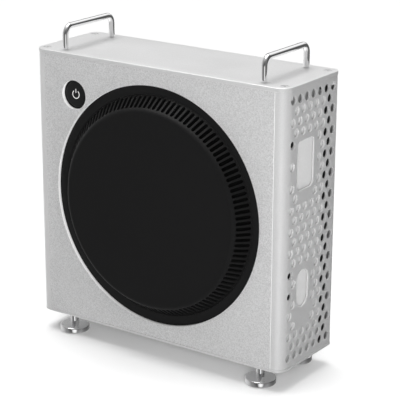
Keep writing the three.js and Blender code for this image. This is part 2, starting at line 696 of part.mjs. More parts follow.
add('button_spring', buttonSpring(), zinc, buttonX, springY, buttonZ);
const SWITCH_DEPTH = 5;
function buttonSwitch() {
  const can = box(-6, 6, 0, SWITCH_DEPTH, -6, 6);
  return join(can, rod(1.6, -1, 1, 10));
}
const switchY = floorY + HOUSING_WALL + CLEAR;
add('button_switch', buttonSwitch(), greyPlastic, buttonX, switchY, buttonZ);

// ---------------------------------------------------------------- handles and feet
function handle() {
  const half = HANDLE_SPAN / 2;
  const top = HANDLE_HEIGHT - ROD_RADIUS;
  const b = HANDLE_BEND;
  const path = new THREE.CurvePath();
  const corner = (y0, z0, yc, zc, y1, z1) => new THREE.QuadraticBezierCurve3(
    new THREE.Vector3(0, y0, z0), new THREE.Vector3(0, yc, zc), new THREE.Vector3(0, y1, z1));
  const straight = (y0, z0, y1, z1) =>
    new THREE.LineCurve3(new THREE.Vector3(0, y0, z0), new THREE.Vector3(0, y1, z1));
  path.add(straight(-half, CLEAR, -half, top - b));
  path.add(corner(-half, top - b, -half, top, -half + b, top));
  path.add(straight(-half + b, top, half - b, top));
  path.add(corner(half - b, top, half, top, half, top - b));
  path.add(straight(half, top - b, half, CLEAR));
  const section = new THREE.Shape(polygon(ROD_RADIUS, 7));
  const options = { steps: 24, extrudePath: path, bevelEnabled: false };
  const rodBody = new THREE.ExtrudeGeometry(section, options);
  const taps = [-half, half].map((y) => rodZ(HANDLE_SCREW_RADIUS + CLEAR, -1, 11, 8).translate(0, y, 0));
  return cut(rodBody, ...taps);
}
for (const [name, x] of [['left', -HANDLE_X], ['right', HANDLE_X]]) {
  add(`handle_${name}`, handle(), chrome, x, middleY, topZ);
  for (const [end, y] of [['front', handleLegs[0]], ['rear', handleLegs[1]]]) {
    const r = HANDLE_SCREW_RADIUS;
    const screw = turnedZ([[0, -2.3], [3, -2.3], [3, 0], [r, 0], [r, PLATE + 10], [0, PLATE + 10]], 10);
    add(`handle_screw_${name}_${end}`, screw, zinc, x, y, topZ - PLATE - CLEAR);
  }
}

function foot() {
  const [r, soft] = [FOOT_RADIUS, 1.6];
  const stemTop = FOOT_HEIGHT - CLEAR;
  const collar = stemTop - 1.5;
  const studTop = FOOT_HEIGHT + STUD_LENGTH;
  return turnedZ([
    [0, 0], [r - soft, 0], [r, soft], [r, FOOT_DISC - soft], [r - soft, FOOT_DISC],
    [STEM_RADIUS, FOOT_DISC], [STEM_RADIUS, collar], [COLLAR_RADIUS, collar],
    [COLLAR_RADIUS, stemTop], [STUD_RADIUS, stemTop], [STUD_RADIUS, studTop], [0, studTop],
  ], 14);
}
for (const [place, x, y] of footPlaces) add(`foot_${place}`, foot(), chrome, x, y, 0);
for (const [place, x, y] of topScrewPlaces) {
  add(`top_screw_${place}`, countersunkScrew(PLATE + TAB - 2), zinc, x, y, topZ - CLEAR);
}

// ---------------------------------------------------------------- tray and board
function tray() {
  const x = innerX - CLEAR;
  const [z0, z1] = [wallLow + TRAY_END_GAP, wallHigh - TAB - CLEAR];
  const reach = HATCH / 2;
  const hatch = roundedRectangle(cpuX - reach, cpuX + reach, cpuZ - reach, cpuZ + reach, 4, 1);
  const pass = roundedRectangle(36, 60, centreZ - 60, centreZ + 60, 4, 1); // for cables
  const sheet = frontPrism(roundedRectangle(-x, x, z0, z1, 2, 1), TRAY, [hatch, pass]);
  const posts = coverScrews.map(([, px, pz]) =>
    rod(POST_RADIUS, TRAY - SINK, TRAY_TO_REAR + TRAY - SHEET - CLEAR).translate(px, 0, pz));
  const taps = coverScrews.map(([, px, pz]) =>
    rod(SCREW_RADIUS + CLEAR, -1, TRAY_TO_REAR + TRAY, 8).translate(px, 0, pz));
  return cut(join(sheet, ...posts), ...taps);
}
add('motherboard_tray', tray(), blackSteel, 0, trayY, 0);

const moduleXs = [132, 142];
const powerPlugX = BOARD_SIZE - 9;
const powerPlugZ = BOARD_SIZE / 2;
function board() {
  const inset = STANDOFF_INSET;
  const slots = moduleXs.map((x) => box(x - 3.5, x + 3.5, -SLOT_BASE, 0.5, 16, 155));
  const plug = box(powerPlugX - 5, powerPlugX + 5, -PLUG_HEIGHT, SINK, powerPlugZ - 26, powerPlugZ + 26);
  const chip = box(60, 100, -7, 0.5, 8, 38);
  const sheet = box(0, BOARD_SIZE, 0, BOARD, 0, BOARD_SIZE);
  const holes = [inset, BOARD_SIZE - inset].flatMap((x) =>
    [inset, BOARD_SIZE - inset].map((z) => rod(1.6, -OVER, BOARD + OVER, 8).translate(x, 0, z)));
  return cut(join(sheet, ...slots, plug, chip), ...holes);
}
add('motherboard', board(), boardBlack, boardX, boardY, boardZ);
for (const [row, z] of [['lower', STANDOFF_INSET], ['upper', BOARD_SIZE - STANDOFF_INSET]]) {
  for (const [side, x] of [['left', STANDOFF_INSET], ['right', BOARD_SIZE - STANDOFF_INSET]]) {
    const post = rod(3, 0, STANDOFF, 6);
    add(`standoff_${row}_${side}`, post, zinc, boardX + x, boardY + BOARD + CLEAR, boardZ + z);
  }
}
const cpuHalf = CPU_SIZE / 2;
const cpuY = boardY - CLEAR - CPU_HEIGHT;
add('cpu_package', join(
  box(-cpuHalf, cpuHalf, CPU_HEIGHT - 2, CPU_HEIGHT, -cpuHalf, cpuHalf),
  box(-cpuHalf + 4, cpuHalf - 4, 0, CPU_HEIGHT - 1.5, -cpuHalf + 4, cpuHalf - 4),
), zinc, cpuX, cpuY, cpuZ);

// Finned block: base towards the board, fins towards the front.
function heatsink() {
  const half = COOLER_SIZE / 2;
  const pitch = (COOLER_SIZE - COOLER_FIN) / (COOLER_FINS - 1);
  const outline = [new THREE.Vector2(half, COOLER_HEIGHT), new THREE.Vector2(-half, COOLER_HEIGHT)];
  for (let i = 0; i < COOLER_FINS; i += 1) {
    const x = -half + i * pitch;
    const root = COOLER_HEIGHT - COOLER_BASE;
    if (i > 0) outline.push(new THREE.Vector2(x, root));
    outline.push(new THREE.Vector2(x, 0), new THREE.Vector2(x + COOLER_FIN, 0));
    if (i < COOLER_FINS - 1) outline.push(new THREE.Vector2(x + COOLER_FIN, root));
  }
  return prism(outline, COOLER_SIZE).translate(0, 0, -half);
}
add('cpu_heatsink', heatsink(), finAluminium, cpuX, coolerY, cpuZ);

// Square fan frame with a round bore, motor plate at the rear, about Y.
function squareFan(size, depth, wall) {
  const half = size / 2;
  const bore = half - wall;
  const outline = roundedRectangle(-half, half, -half, half, 5, 2);
  const ring = frontPrism(outline, depth, [polygon(bore, 24)]);
  const bar = 1.5;
  const struts = [45, 135].map((turn) =>
    box(-bore - 0.5, bore + 0.5, depth - bar, depth, -2, 2).rotateY(THREE.MathUtils.degToRad(turn)));
  const motor = rod(half * 0.36, depth - bar, depth, 12);
  return join(ring, ...struts, motor, rod(1.2, depth - 5, depth - 1, 8));
}
add('cpu_fan_frame', squareFan(COOLER_FAN, COOLER_FAN_DEPTH, 2), greyPlastic, cpuX, coolerFanY, cpuZ);
const cpuTip = COOLER_FAN / 2 - 4;
const cpuRotor = rotor(COOLER_FAN * 0.18, cpuTip, COOLER_FAN_DEPTH - 3, 7, 36, 1.2 + CLEAR);
add('cpu_fan_rotor', cpuRotor, blackPlastic, cpuX, coolerFanY + 1, cpuZ);

moduleXs.forEach((x, i) => {
  const [y1, t] = [-SLOT_BASE - CLEAR, MODULE_THICKNESS / 2];
  const stick = box(-t, t, y1 - MODULE_HEIGHT, y1, 19, 19 + MODULE_LENGTH);
  add(`memory_module_${i + 1}`, stick, blackSteel, boardX + x, boardY, boardZ);
});

// connector sockets on the board's left edge, open towards -X
const portY0 = -CLEAR - PORT_HEIGHT;
const portPockets = [ // depth range, height range, how deep
  [3, 16, 8, 19.5, 13], // network
  [3, 8.4, 30, 43, 11], [12.5, 17.9, 30, 43, 11], // paired ports
  [3, 8.4, 54, 67, 11], [12.5, 17.9, 54, 67, 11],
  [3, 8.6, 80, 96, 9], // video
];
const jackHeights = [108, 120, 132];
function ports() {
  const body = box(0, PORT_DEPTH, portY0, -CLEAR, 0, PORT_LENGTH);
  const pockets = portPockets.map(([y0, y1, z0, z1, deep]) =>
    box(-1, deep, portY0 + y0, portY0 + y1, z0, z1));
  const jacks = jackHeights.map((z) =>
    rod(2.4, -OVER, 10, 10).rotateZ(-Math.PI / 2).translate(0, portY0 + PORT_HEIGHT / 2, z));
  return cut(body, ...pockets, ...jacks);
}
const portZ = shieldZ - PORT_LENGTH / 2;
const portX = -innerX + 2 * CLEAR + SHIELD + 0.1;
add('io_port_block', ports(), greyPlastic, portX, boardY, portZ);
function shield() {
  const [y0, y1] = [shieldY - SHIELD_WIDTH / 2, shieldY + SHIELD_WIDTH / 2];
  const [z0, z1] = [shieldZ - SHIELD_LENGTH / 2, shieldZ + SHIELD_LENGTH / 2];
  const openings = portPockets.map(([py0, py1, pz0, pz1]) => {
    const y = boardY + portY0;
    return roundedRectangle(y + py0 - 0.5, y + py1 + 0.5, portZ + pz0 - 0.5, portZ + pz1 + 0.5, 0.3, 1);
  });
  const jacks = jackHeights.map((z) =>
    polygon(3, 8, boardY + portY0 + PORT_HEIGHT / 2, portZ + z));
  return sidePrism(roundedRectangle(y0, y1, z0, z1, 1, 1), SHIELD, [...openings, ...jacks]);
}
add('io_shield', shield(), zinc, -innerX + CLEAR, 0, 0);

// ---------------------------------------------------------------- power supply
const supplyFan = { y: SUPPLY_DEPTH / 2, z: SUPPLY_HEIGHT - 21, depth: 12 };
const inletPlace = { y: 13, z: 20 }; // from the supply's lower front corner
const rockerPlace = { y: 32, z: 20 };
function supplyHousing() {
  const body = box(0, SUPPLY_LENGTH, 0, SUPPLY_DEPTH, 0, SUPPLY_HEIGHT);
  const w = SUPPLY_WALL;
  const hollow = box(w, SUPPLY_LENGTH - w, w, SUPPLY_DEPTH - w, w, SUPPLY_HEIGHT - w);
  const wind = rod(SUPPLY_FAN_RADIUS + 1.2, -1, w + 1, 20)
    .rotateZ(-Math.PI / 2).translate(0, supplyFan.y, supplyFan.z);
  const [iy, iz] = [INLET_WIDTH / 2 + CLEAR, INLET_LENGTH / 2 + CLEAR];
  const inlet = box(-1, w + 1, inletPlace.y - iy, inletPlace.y + iy,
    inletPlace.z - iz, inletPlace.z + iz);
  const [ry, rz] = [ROCKER_WIDTH / 2 + 0.5, ROCKER_LENGTH / 2 + 1.2];
  const rocker = box(-1, w + 1, rockerPlace.y - ry, rockerPlace.y + ry,
    rockerPlace.z - rz, rockerPlace.z + rz);
  return cut(body, hollow, wind, inlet, rocker);
}
// Board with its coils and capacitors, inside the power supply.
function supplyCircuit() {
  const x = supplyFan.depth + 10;
  const y = SUPPLY_DEPTH - SUPPLY_WALL - CLEAR;
  const z = SUPPLY_WALL + CLEAR;
  const length = SUPPLY_LENGTH - SUPPLY_WALL - CLEAR;
  const sheet = box(x, length, y - BOARD, y, z, SUPPLY_HEIGHT - z);
  const coil = box(x + 14, x + 44, y - 28, y - 0.5, 12, 46);
  const heavy = rod(11, y - 30, y - 0.5, 12).translate(x + 68, 0, 26);
  const fins = box(x + 12, x + 100, y - 26, y - 0.5, 62, 66);
  const filter = box(x + 86, x + 112, y - 20, y - 0.5, 14, 44);
  return join(sheet, coil, heavy, fins, filter);
}
add('psu_housing', supplyHousing(), blackSteel, supplyX, supplyY, supplyZ);
add('psu_circuit', supplyCircuit(), boardBlack, supplyX, supplyY, supplyZ);
const supplyRotor = rotor(SUPPLY_FAN_RADIUS * 0.42, SUPPLY_FAN_RADIUS, supplyFan.depth - 2, 7, 38, 0.9)
  .rotateZ(-Math.PI / 2);
add('psu_fan_rotor', supplyRotor, blackPlastic,
  supplyX + 1, supplyY + supplyFan.y, supplyZ + supplyFan.z);

// Mains inlet: a cup open towards -X with three blades.
function inletBody() {
  const [iy, iz] = [INLET_WIDTH / 2, INLET_LENGTH / 2];
  const wall = 1.6;
  const cup = box(0, INLET_DEPTH + 1.5, -iy, iy, -iz, iz);
  const cavity = box(-1, INLET_DEPTH, -iy + wall, iy - wall, -iz + wall, iz - wall);
  const blades = [[-2.2, -7], [-2.2, 7], [2.2, 0]].map(([y, z]) =>
    box(2, INLET_DEPTH + 1, y - 2, y + 2, z - 1, z + 1));
  return join(cut(cup, cavity), ...blades);
}
add('psu_inlet', inletBody(), blackPlastic, supplyX, supplyY + inletPlace.y, supplyZ + inletPlace.z);

function rockerBody() {
  const half = ROCKER_LENGTH / 2;
  const outline = [[-half, -1.3], [0, 0], [half, -1.3], [half - 1.5, 5], [-half + 1.5, 5]];
  const points = outline.map(([z, x]) => new THREE.Vector2(x, z));
  const body = prism(points, ROCKER_WIDTH).rotateX(Math.PI / 2).translate(0, ROCKER_WIDTH / 2, 0);
  return body.rotateY(THREE.MathUtils.degToRad(ROCKER_TILT));
}
add('psu_rocker', rockerBody(), blackPlastic,
  supplyX + 1.5, supplyY + rockerPlace.y, supplyZ + rockerPlace.z);

// ---------------------------------------------------------------- drive and cables
add('solid_state_drive', box(0, DRIVE.length, 0, DRIVE.thickness, 0, DRIVE.width), blackSteel,
  DRIVE.x, trayY + TRAY + CLEAR, centreZ - DRIVE.drop);

const plugFace = boardY - PLUG_HEIGHT - CLEAR;
const plugPlace = [boardX + powerPlugX, plugFace, boardZ + powerPlugZ];
const supplyEnd = supplyX + SUPPLY_LENGTH + CLEAR;
const harness = tube([
  [supplyEnd, supplyY + 20, supplyZ + 45],
  [supplyEnd + 12, supplyY + 20, supplyZ + 46],
  [supplyEnd + 26, supplyY + 12, supplyZ + 66],
  [plugPlace[0] + 14, plugFace - 14, plugPlace[2] - 40],
  [plugPlace[0] + 4, plugFace - 16, plugPlace[2] - 12],
  [plugPlace[0], plugFace - 9, plugPlace[2]],
  [plugPlace[0], plugFace, plugPlace[2]],
], polygon(HARNESS_RADIUS, 6), 22);
add('main_power_cable', harness, cableBlack);

// The button's cable passes between the cooler and the sockets to reach the board.
const switchBack = switchY + SWITCH_DEPTH + CLEAR;
const cableX = boardX + CPU_X - COOLER_SIZE / 2 - CABLE_TO_COOLER;
const buttonCable = tube([
  [buttonX, switchBack, buttonZ], [buttonX, switchBack + 3, buttonZ],
  [cableX + 16, switchBack + 6, buttonZ - 4], [cableX, switchBack + 10, buttonZ - 30],
  [cableX - 4, boardY - 30, buttonZ - 60], [cableX, boardY - 8, buttonZ - 90],
  [cableX, boardY - CLEAR, buttonZ - 92],
], polygon(CABLE_RADIUS, 5), 18);
add('button_cable', buttonCable, cableBlack);

export default tower;
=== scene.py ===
# A slim aluminium desktop computer tower in a plain studio: camera, light, finishes and
# the finely made pieces that stand over the working model. Metres, +Z up, front towards -Y.
import math

import bmesh
import bpy
from mathutils import Matrix, Quaternion, Vector


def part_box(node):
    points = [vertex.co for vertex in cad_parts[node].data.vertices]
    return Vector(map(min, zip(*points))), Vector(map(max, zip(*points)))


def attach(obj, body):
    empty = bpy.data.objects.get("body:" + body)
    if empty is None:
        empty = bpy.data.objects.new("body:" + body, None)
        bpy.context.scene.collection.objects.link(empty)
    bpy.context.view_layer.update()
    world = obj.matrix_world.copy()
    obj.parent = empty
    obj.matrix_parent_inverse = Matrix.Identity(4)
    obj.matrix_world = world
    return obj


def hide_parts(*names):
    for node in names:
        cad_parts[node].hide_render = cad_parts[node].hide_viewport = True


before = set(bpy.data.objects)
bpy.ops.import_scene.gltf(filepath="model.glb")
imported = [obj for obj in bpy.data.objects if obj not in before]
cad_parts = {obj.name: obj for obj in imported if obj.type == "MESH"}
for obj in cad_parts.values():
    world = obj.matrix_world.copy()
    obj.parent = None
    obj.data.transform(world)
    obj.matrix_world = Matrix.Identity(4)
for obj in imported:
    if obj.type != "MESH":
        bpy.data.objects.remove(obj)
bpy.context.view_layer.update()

MM = 0.001

# ---------------------------------------------------------------- places from the frame


def corners(node):
    low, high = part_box(node)
    return Vector(low), Vector(high)


panel_low, panel_high = corners("front_panel")
lid_low, lid_high = corners("top_plate")
base_low, base_high = corners("bottom_plate")
_, shell_high = corners("right_side_shell")
cover_low, cover_high = corners("rear_cover")
bezel_low, bezel_high = corners("grille_bezel")
dome_low, dome_high = corners("front_grille")
cap_low, cap_high = corners("power_button_cap")
housing_low, housing_high = corners("button_housing")

FRONT = panel_low.y
REAR = cover_high.y
PANEL = panel_high.y - panel_low.y
SHEET = cover_high.y - cover_low.y
SEAM = 0.15 * MM  # fine line left between the plates and the walls
WALL_LOW, WALL_HIGH = base_high.z + SEAM, lid_low.z - SEAM
MIDDLE_Y = (lid_low.y + lid_high.y) / 2
SIDE = shell_high.x
PANEL_GAP = 0.15 * MM
FRONT_ARC = SIDE - panel_high.x - PANEL_GAP
PLATE_FRONT_CORNER = 13.5 * MM
PLATE_REAR_CORNER = 9 * MM
PLATE_SINK = 4.2 * MM  # screw holes of the top plate
RIM_REACH = 4.6 * MM
LID_EDGE, BASE_EDGE = 0.8 * MM, 1.3 * MM  # rounding of the outer rims
REAR_ARC = 8.6 * MM
REAR_LIP = 6 * MM
CENTRE_Z = (dome_low.z + dome_high.z) / 2

OPENING_RADIUS = 130.7 * MM
DISC_RADIUS = 105.5 * MM
CONE_INNER, CONE_OUTER = 108.2 * MM, 120.3 * MM
CONE_PROUD = 11.4 * MM
DISC_PROUD = FRONT - dome_low.y
BEZEL_DEPTH = bezel_low.y - FRONT
GRILLE_WALL = bezel_high.y - bezel_low.y
GRILLE_SKIN = 2.2 * MM
EAR = 5.5 * MM  # half width of the bezel ears
SLOT_COUNT = 120
SLOT_WIDTH = 3.9 * MM
SLOT_INNER, SLOT_OUTER = 109.2 * MM, 119.4 * MM

BUTTON_X = (cap_low.x + cap_high.x) / 2
BUTTON_Z = (cap_low.z + cap_high.z) / 2
CAP_RADIUS = (cap_high.z - cap_low.z) / 2
BUTTON_HOLE = CAP_RADIUS + 2.1 * MM

CAP_SKIRT = 8.5 * MM
SYMBOL_RADIUS, SYMBOL_LINE, SYMBOL_PROUD = 4.4 * MM, 0.7 * MM, 0.06 * MM
SYMBOL_GAP = 38  # degrees left open each side of the bar

HOLE_RADIUS = 4.5 * MM
HOLE_COLUMNS = 7
HOLE_ROWS = 25
COLUMN_PITCH = 12.66 * MM
ROW_PITCH = 11.37 * MM
HOLE_SEGMENTS = 20
WEB = 2 * MM
UPPER_WINDOW = (23 * MM, 55 * MM, 66.6 * MM, 52 * MM, 7 * MM)
LOWER_WINDOW = (27 * MM, 50 * MM, -65.9 * MM, 41 * MM, 11.5 * MM)
LOWER_BLANK = 13 * MM
TAB, TAB_REACH = 10 * MM, 4.4 * MM  # tapped tabs under the top screws

# ---------------------------------------------------------------- camera
AZIMUTH, ELEVATION, ROLL = 34.96, 18.03, 0.20
CAMERA_DISTANCE = 1.688
LENS = 142.37


def make_camera():
    data = bpy.data.cameras.new("camera")
    data.sensor_width = 36
    data.lens = LENS
    data.clip_start, data.clip_end = 0.01, 50
    camera = bpy.data.objects.new("camera", data)
    bpy.context.collection.objects.link(camera)
    a, e = math.radians(AZIMUTH), math.radians(ELEVATION)
    back = Vector((math.sin(a) * math.cos(e), -math.cos(a) * math.cos(e), math.sin(e)))
    middle_z = (base_low.z + lid_high.z) / 2
    target = Vector((21.8 * MM, MIDDLE_Y, middle_z - 1.7 * MM))
    camera.location = target + back * CAMERA_DISTANCE
    camera.rotation_mode = "QUATERNION"
    turn = (-back).to_track_quat("-Z", "Y")
    camera.rotation_quaternion = turn @ Quaternion((0, 0, 1), math.radians(ROLL))
    bpy.context.scene.camera = camera


make_camera()

# ---------------------------------------------------------------- shader groups


class Nodes:
    """Short hand for building a node tree."""

    def __init__(self, tree):
        self.tree = tree

    def add(self, kind, inputs=(), **settings):
        node = self.tree.nodes.new(kind)
        for key, value in settings.items():
            setattr(node, key, value)
        for key, value in dict(inputs).items():
            self.set(node, key, value)
        return node

    def set(self, node, key, value):
        socket = node.inputs[key]
        if isinstance(value, bpy.types.NodeSocket):
            self.tree.links.new(value, socket)
        else:
            socket.default_value = value

    def math(self, operation, a, b=0.0, clamp=False):
        node = self.add("ShaderNodeMath", {0: a, 1: b}, operation=operation, use_clamp=clamp)
        return node.outputs[0]

    def between(self, value, low, high, out_low=0.0, out_high=1.0):
        inputs = {"Value": value, "From Min": low, "From Max": high}
        inputs.update({"To Min": out_low, "To Max": out_high})
        return self.add("ShaderNodeMapRange", inputs).outputs[0]

    def noise(self, vector, scale, detail=2.0, roughness=0.5):
        inputs = {"Vector": vector, "Scale": scale, "Detail": detail, "Roughness": roughness}
        return self.add("ShaderNodeTexNoise", inputs).outputs[0]

    def blend(self, amount, a, b, mode="MIX"):
        node = self.add("ShaderNodeMix", data_type="RGBA", blend_type=mode)
        self.set(node, 0, amount)
        self.set(node, 6, a)
        self.set(node, 7, b)
        return node.outputs[2]


def new_group(name, inputs, outputs):
    tree = bpy.data.node_groups.new(name, "ShaderNodeTree")
    for label, default in inputs:
        kind = "NodeSocketFloat" if isinstance(default, float) else "NodeSocketColor"
        socket = tree.interface.new_socket(label, in_out="INPUT", socket_type=kind)
        socket.default_value = default
    for label, kind in outputs:
        tree.interface.new_socket(label, in_out="OUTPUT", socket_type=kind)
    n = Nodes(tree)
    source = n.add("NodeGroupInput").outputs
    sink = n.add("NodeGroupOutput")
    return n, source, sink


FLOAT = "NodeSocketFloat"


def grain_group():
    """Fine blasted or moulded grain: a height, a speckle and a slow cloud."""
    inputs = [("Size", 0.6), ("Cloud Size", 60.0)]
    outputs = [("Height", FLOAT), ("Speckle", FLOAT), ("Cloud", FLOAT)]
    n, source, sink = new_group("surface_grain", inputs, outputs)
    place = n.add("ShaderNodeTexCoord").outputs["Object"]
    fine_scale = n.math("DIVIDE", 1000.0, source["Size"])
    coarse_scale = n.math("DIVIDE", 1000.0, source["Cloud Size"])
    fine = n.noise(place, fine_scale, 2.0, 0.6)
    coarse = n.noise(place, n.math("MULTIPLY", fine_scale, 0.33), 1.0)
    cells = n.add("ShaderNodeTexVoronoi", {"Vector": place, "Scale": fine_scale}).outputs[0]
    height = n.math("ADD", n.math("MULTIPLY", fine, 0.6), n.math("MULTIPLY", cells, 0.5))
    n.set(sink, "Height", n.math("ADD", height, n.math("MULTIPLY", coarse, 0.4)))
    n.set(sink, "Speckle", n.between(fine, 0.32, 0.68))
    n.set(sink, "Cloud", n.noise(place, coarse_scale, 3.0, 0.55))
    return n.tree


def edge_group():
    """Mask of the outside edges, broken up as handling wears them; the aluminium finishes also use it to
    lighten their edges as a painted highlight.
    """
    n, source, sink = new_group("edge_wear_and_highlight", [("Width", 0.5), ("Break Up", 6.0)], [("Mask", FLOAT)])
    width = n.math("MULTIPLY", source["Width"], MM)
    soft = n.add("ShaderNodeBevel", {"Radius": width}, samples=4).outputs[0]
    hard = n.add("ShaderNodeNewGeometry").outputs["Normal"]
    dot = n.add("ShaderNodeVectorMath", {0: soft, 1: hard}, operation="DOT_PRODUCT").outputs["Value"]
    edge = n.between(dot, 0.995, 0.9)
    place = n.add("ShaderNodeTexCoord").outputs["Object"]
    broken = n.noise(place, n.math("DIVIDE", 1000.0, source["Break Up"]), 4.0, 0.65)
    n.set(sink, "Mask", n.math("MULTIPLY", edge, n.between(broken, 0.25, 0.7), True))
    return n.tree


def dust_group():
    """Thin settled dust on faces that look up, and faint smears elsewhere."""
    n, source, sink = new_group("settled_dust", [("Amount", 0.3)], [("Mask", FLOAT), ("Smear", FLOAT)])
    normal = n.add("ShaderNodeNewGeometry").outputs["Normal"]
    up = n.add("ShaderNodeSeparateXYZ", {0: normal}).outputs["Z"]
    place = n.add("ShaderNodeTexCoord").outputs["Object"]
    patches = n.noise(place, 34.0, 5.0, 0.6)
    specks = n.noise(place, 900.0, 2.0, 0.7)
    settled = n.math("MULTIPLY", n.between(up, 0.3, 1.0), n.between(patches, 0.35, 0.75))
    flecks = n.math("MULTIPLY", settled, n.between(specks, 0.4, 0.62))
    n.set(sink, "Mask", n.math("MULTIPLY", flecks, source["Amount"], True))
    n.set(sink, "Smear", n.noise(place, 14.0, 4.0, 0.7))
    return n.tree


def streak_group():
    """Fine drawn lines along one direction, for brushed, turned or woven faces."""
    inputs = [("Across", 2400.0), ("Along", 60.0)]
    n, source, sink = new_group("drawn_lines", inputs, [("Height", FLOAT), ("Lines", FLOAT)])
    place = n.add("ShaderNodeTexCoord").outputs["Object"]
    stretch = n.add("ShaderNodeCombineXYZ", {0: source["Along"], 1: source["Across"], 2: source["Across"]})
    scaled = n.add("ShaderNodeVectorMath", {0: place, 1: stretch.outputs[0]}, operation="MULTIPLY")
    lines = n.noise(scaled.outputs[0], 1.0, 3.0, 0.65)
    n.set(sink, "Height", lines)
    n.set(sink, "Lines", n.between(lines, 0.3, 0.7))
    return n.tree


def weave_group():
    """Crossed threads at a given pitch in millimetres, on the front plane."""
    n, source, sink = new_group("woven_threads", [("Pitch", 1.0)], [("Height", FLOAT), ("Thread", FLOAT)])
    place = n.add("ShaderNodeTexCoord").outputs["Object"]
    parts = n.add("ShaderNodeSeparateXYZ", {0: place}).outputs
    factor = n.math("DIVIDE", 2000 * math.pi, source["Pitch"])
    across = n.math("SINE", n.math("MULTIPLY", parts["X"], factor))
    upward = n.math("SINE", n.math("MULTIPLY", parts["Z"], factor))
    woven = n.math("MULTIPLY", across, upward)
    n.set(sink, "Height", n.between(woven, -1.0, 1.0))
    n.set(sink, "Thread", n.between(woven, -0.4, 0.4))
    return n.tree


GRAIN = grain_group()
EDGE = edge_group()
DUST = dust_group()
STREAKS = streak_group()
WEAVE = weave_group()

# ---------------------------------------------------------------- finishes
METAL_SHARE = 0.7  # anodised aluminium scatters some of its light


def grey(value, tint=(1.0, 1.0, 1.0)):
    return (value * tint[0], value * tint[1], value * tint[2], 1.0)


class Finish(Nodes):
    """A material with one Principled shader and its shared groups."""

    def __init__(self, name, **constants):
        self.material = bpy.data.materials.new(name)
        self.material.use_nodes = True
        super().__init__(self.material.node_tree)
        self.shader = self.tree.nodes["Principled BSDF"]
        for key, value in constants.items():
            self.shader.inputs[key.replace("_", " ")].default_value = value

    def group(self, tree, **inputs):
        node = self.add("ShaderNodeGroup", node_tree=tree)
        for key, value in inputs.items():
            self.set(node, key.replace("_", " "), value)
        return node.outputs

    def feed(self, **links):
        for key, value in links.items():
            self.set(self.shader, key.replace("_", " "), value)

    def bump(self, height, distance, strength=1.0):
        inputs = {"Height": height, "Distance": distance * MM, "Strength": strength}
        self.feed(Normal=self.add("ShaderNodeBump", inputs).outputs[0])


def blasted_aluminium(name, value, speckle, rough, bump, size=0.85, lip=0.0):
    """Anodised aluminium; with a lip, faces turned away from front and back are painted pale and dull, a
    painted highlight for the bright light the hole walls catch.
    """
    f = Finish(name)
    grain = f.group(GRAIN, Size=size, Cloud_Size=70.0)
    edge = f.group(EDGE, Width=0.6, Break_Up=9.0)
    dust = f.group(DUST, Amount=0.2)
    dark, light = grey(value - speckle), grey(value + speckle, (1.0, 1.0, 1.005))
    colour = f.blend(grain["Speckle"], dark, light)
    cloud = f.between(grain["Cloud"], 0.3, 0.7, 0.0, 0.08)
    colour = f.blend(cloud, colour, grey(value * 0.85))
    # Lighter outside edges: partly handling wear, partly a painted highlight along the corners.
    colour = f.blend(f.math("MULTIPLY", edge["Mask"], 0.7), colour, grey(0.94))
    colour = f.blend(dust["Mask"], colour, grey(0.7, (1.0, 0.98, 0.95)))
    # Painted highlight: hole walls and outer edges (faces turned away from front and back) get a pale, dull
    # colour in place of the light they catch.
    normal = f.add("ShaderNodeNewGeometry").outputs["Normal"]
    facing = f.add("ShaderNodeSeparateXYZ", {0: normal}).outputs["Y"]
    painted_wall_light = f.between(f.math("ABSOLUTE", facing), 0.6, 0.3, 0.0, lip)
    colour = f.blend(painted_wall_light, colour, grey(0.93))
    roughness = f.between(grain["Cloud"], 0.3, 0.7, rough - 0.03, rough + 0.03)
    roughness = f.math("SUBTRACT", roughness, f.math("MULTIPLY", edge["Mask"], 0.1))
    f.feed(Base_Color=colour, Roughness=roughness)
    f.feed(Metallic=f.between(painted_wall_light, 0.0, 1.0, METAL_SHARE, 0.05))
    f.bump(grain["Height"], bump, 0.5)
    return f.material


def polished_chrome(name):
    f = Finish(name, Metallic=1.0)
    grain = f.group(GRAIN, Size=14.0, Cloud_Size=30.0)
    dust = f.group(DUST, Amount=0.2)
    streaks = f.group(STREAKS, Across=1800.0, Along=90.0)
    colour = f.blend(grain["Cloud"], grey(0.9), grey(0.96, (1.0, 1.0, 1.01)))
    colour = f.blend(dust["Mask"], colour, grey(0.5))
    smears = f.between(dust["Smear"], 0.35, 0.75, 0.05, 0.12)
    rough = f.math("ADD", smears, f.math("MULTIPLY", streaks["Lines"], 0.03))
    f.feed(Base_Color=colour, Roughness=rough)
    f.bump(streaks["Height"], 0.004, 0.3)
    return f.material


def plated_steel(name, value=0.5):
    f = Finish(name, Metallic=1.0)
    streaks = f.group(STREAKS, Across=2600.0, Along=300.0)
    grain = f.group(GRAIN, Size=1.2, Cloud_Size=12.0)
    edge = f.group(EDGE, Width=0.25, Break_Up=2.0)
    colour = f.blend(streaks["Lines"], grey(value - 0.07), grey(value + 0.06, (1.0, 1.0, 1.02)))
    colour = f.blend(f.math("MULTIPLY", edge["Mask"], 0.6), colour, grey(0.85))
    rough = f.between(grain["Cloud"], 0.3, 0.7, 0.24, 0.4)
    f.feed(Base_Color=colour, Roughness=rough)
    f.bump(streaks["Height"], 0.01, 0.4)
    return f.material


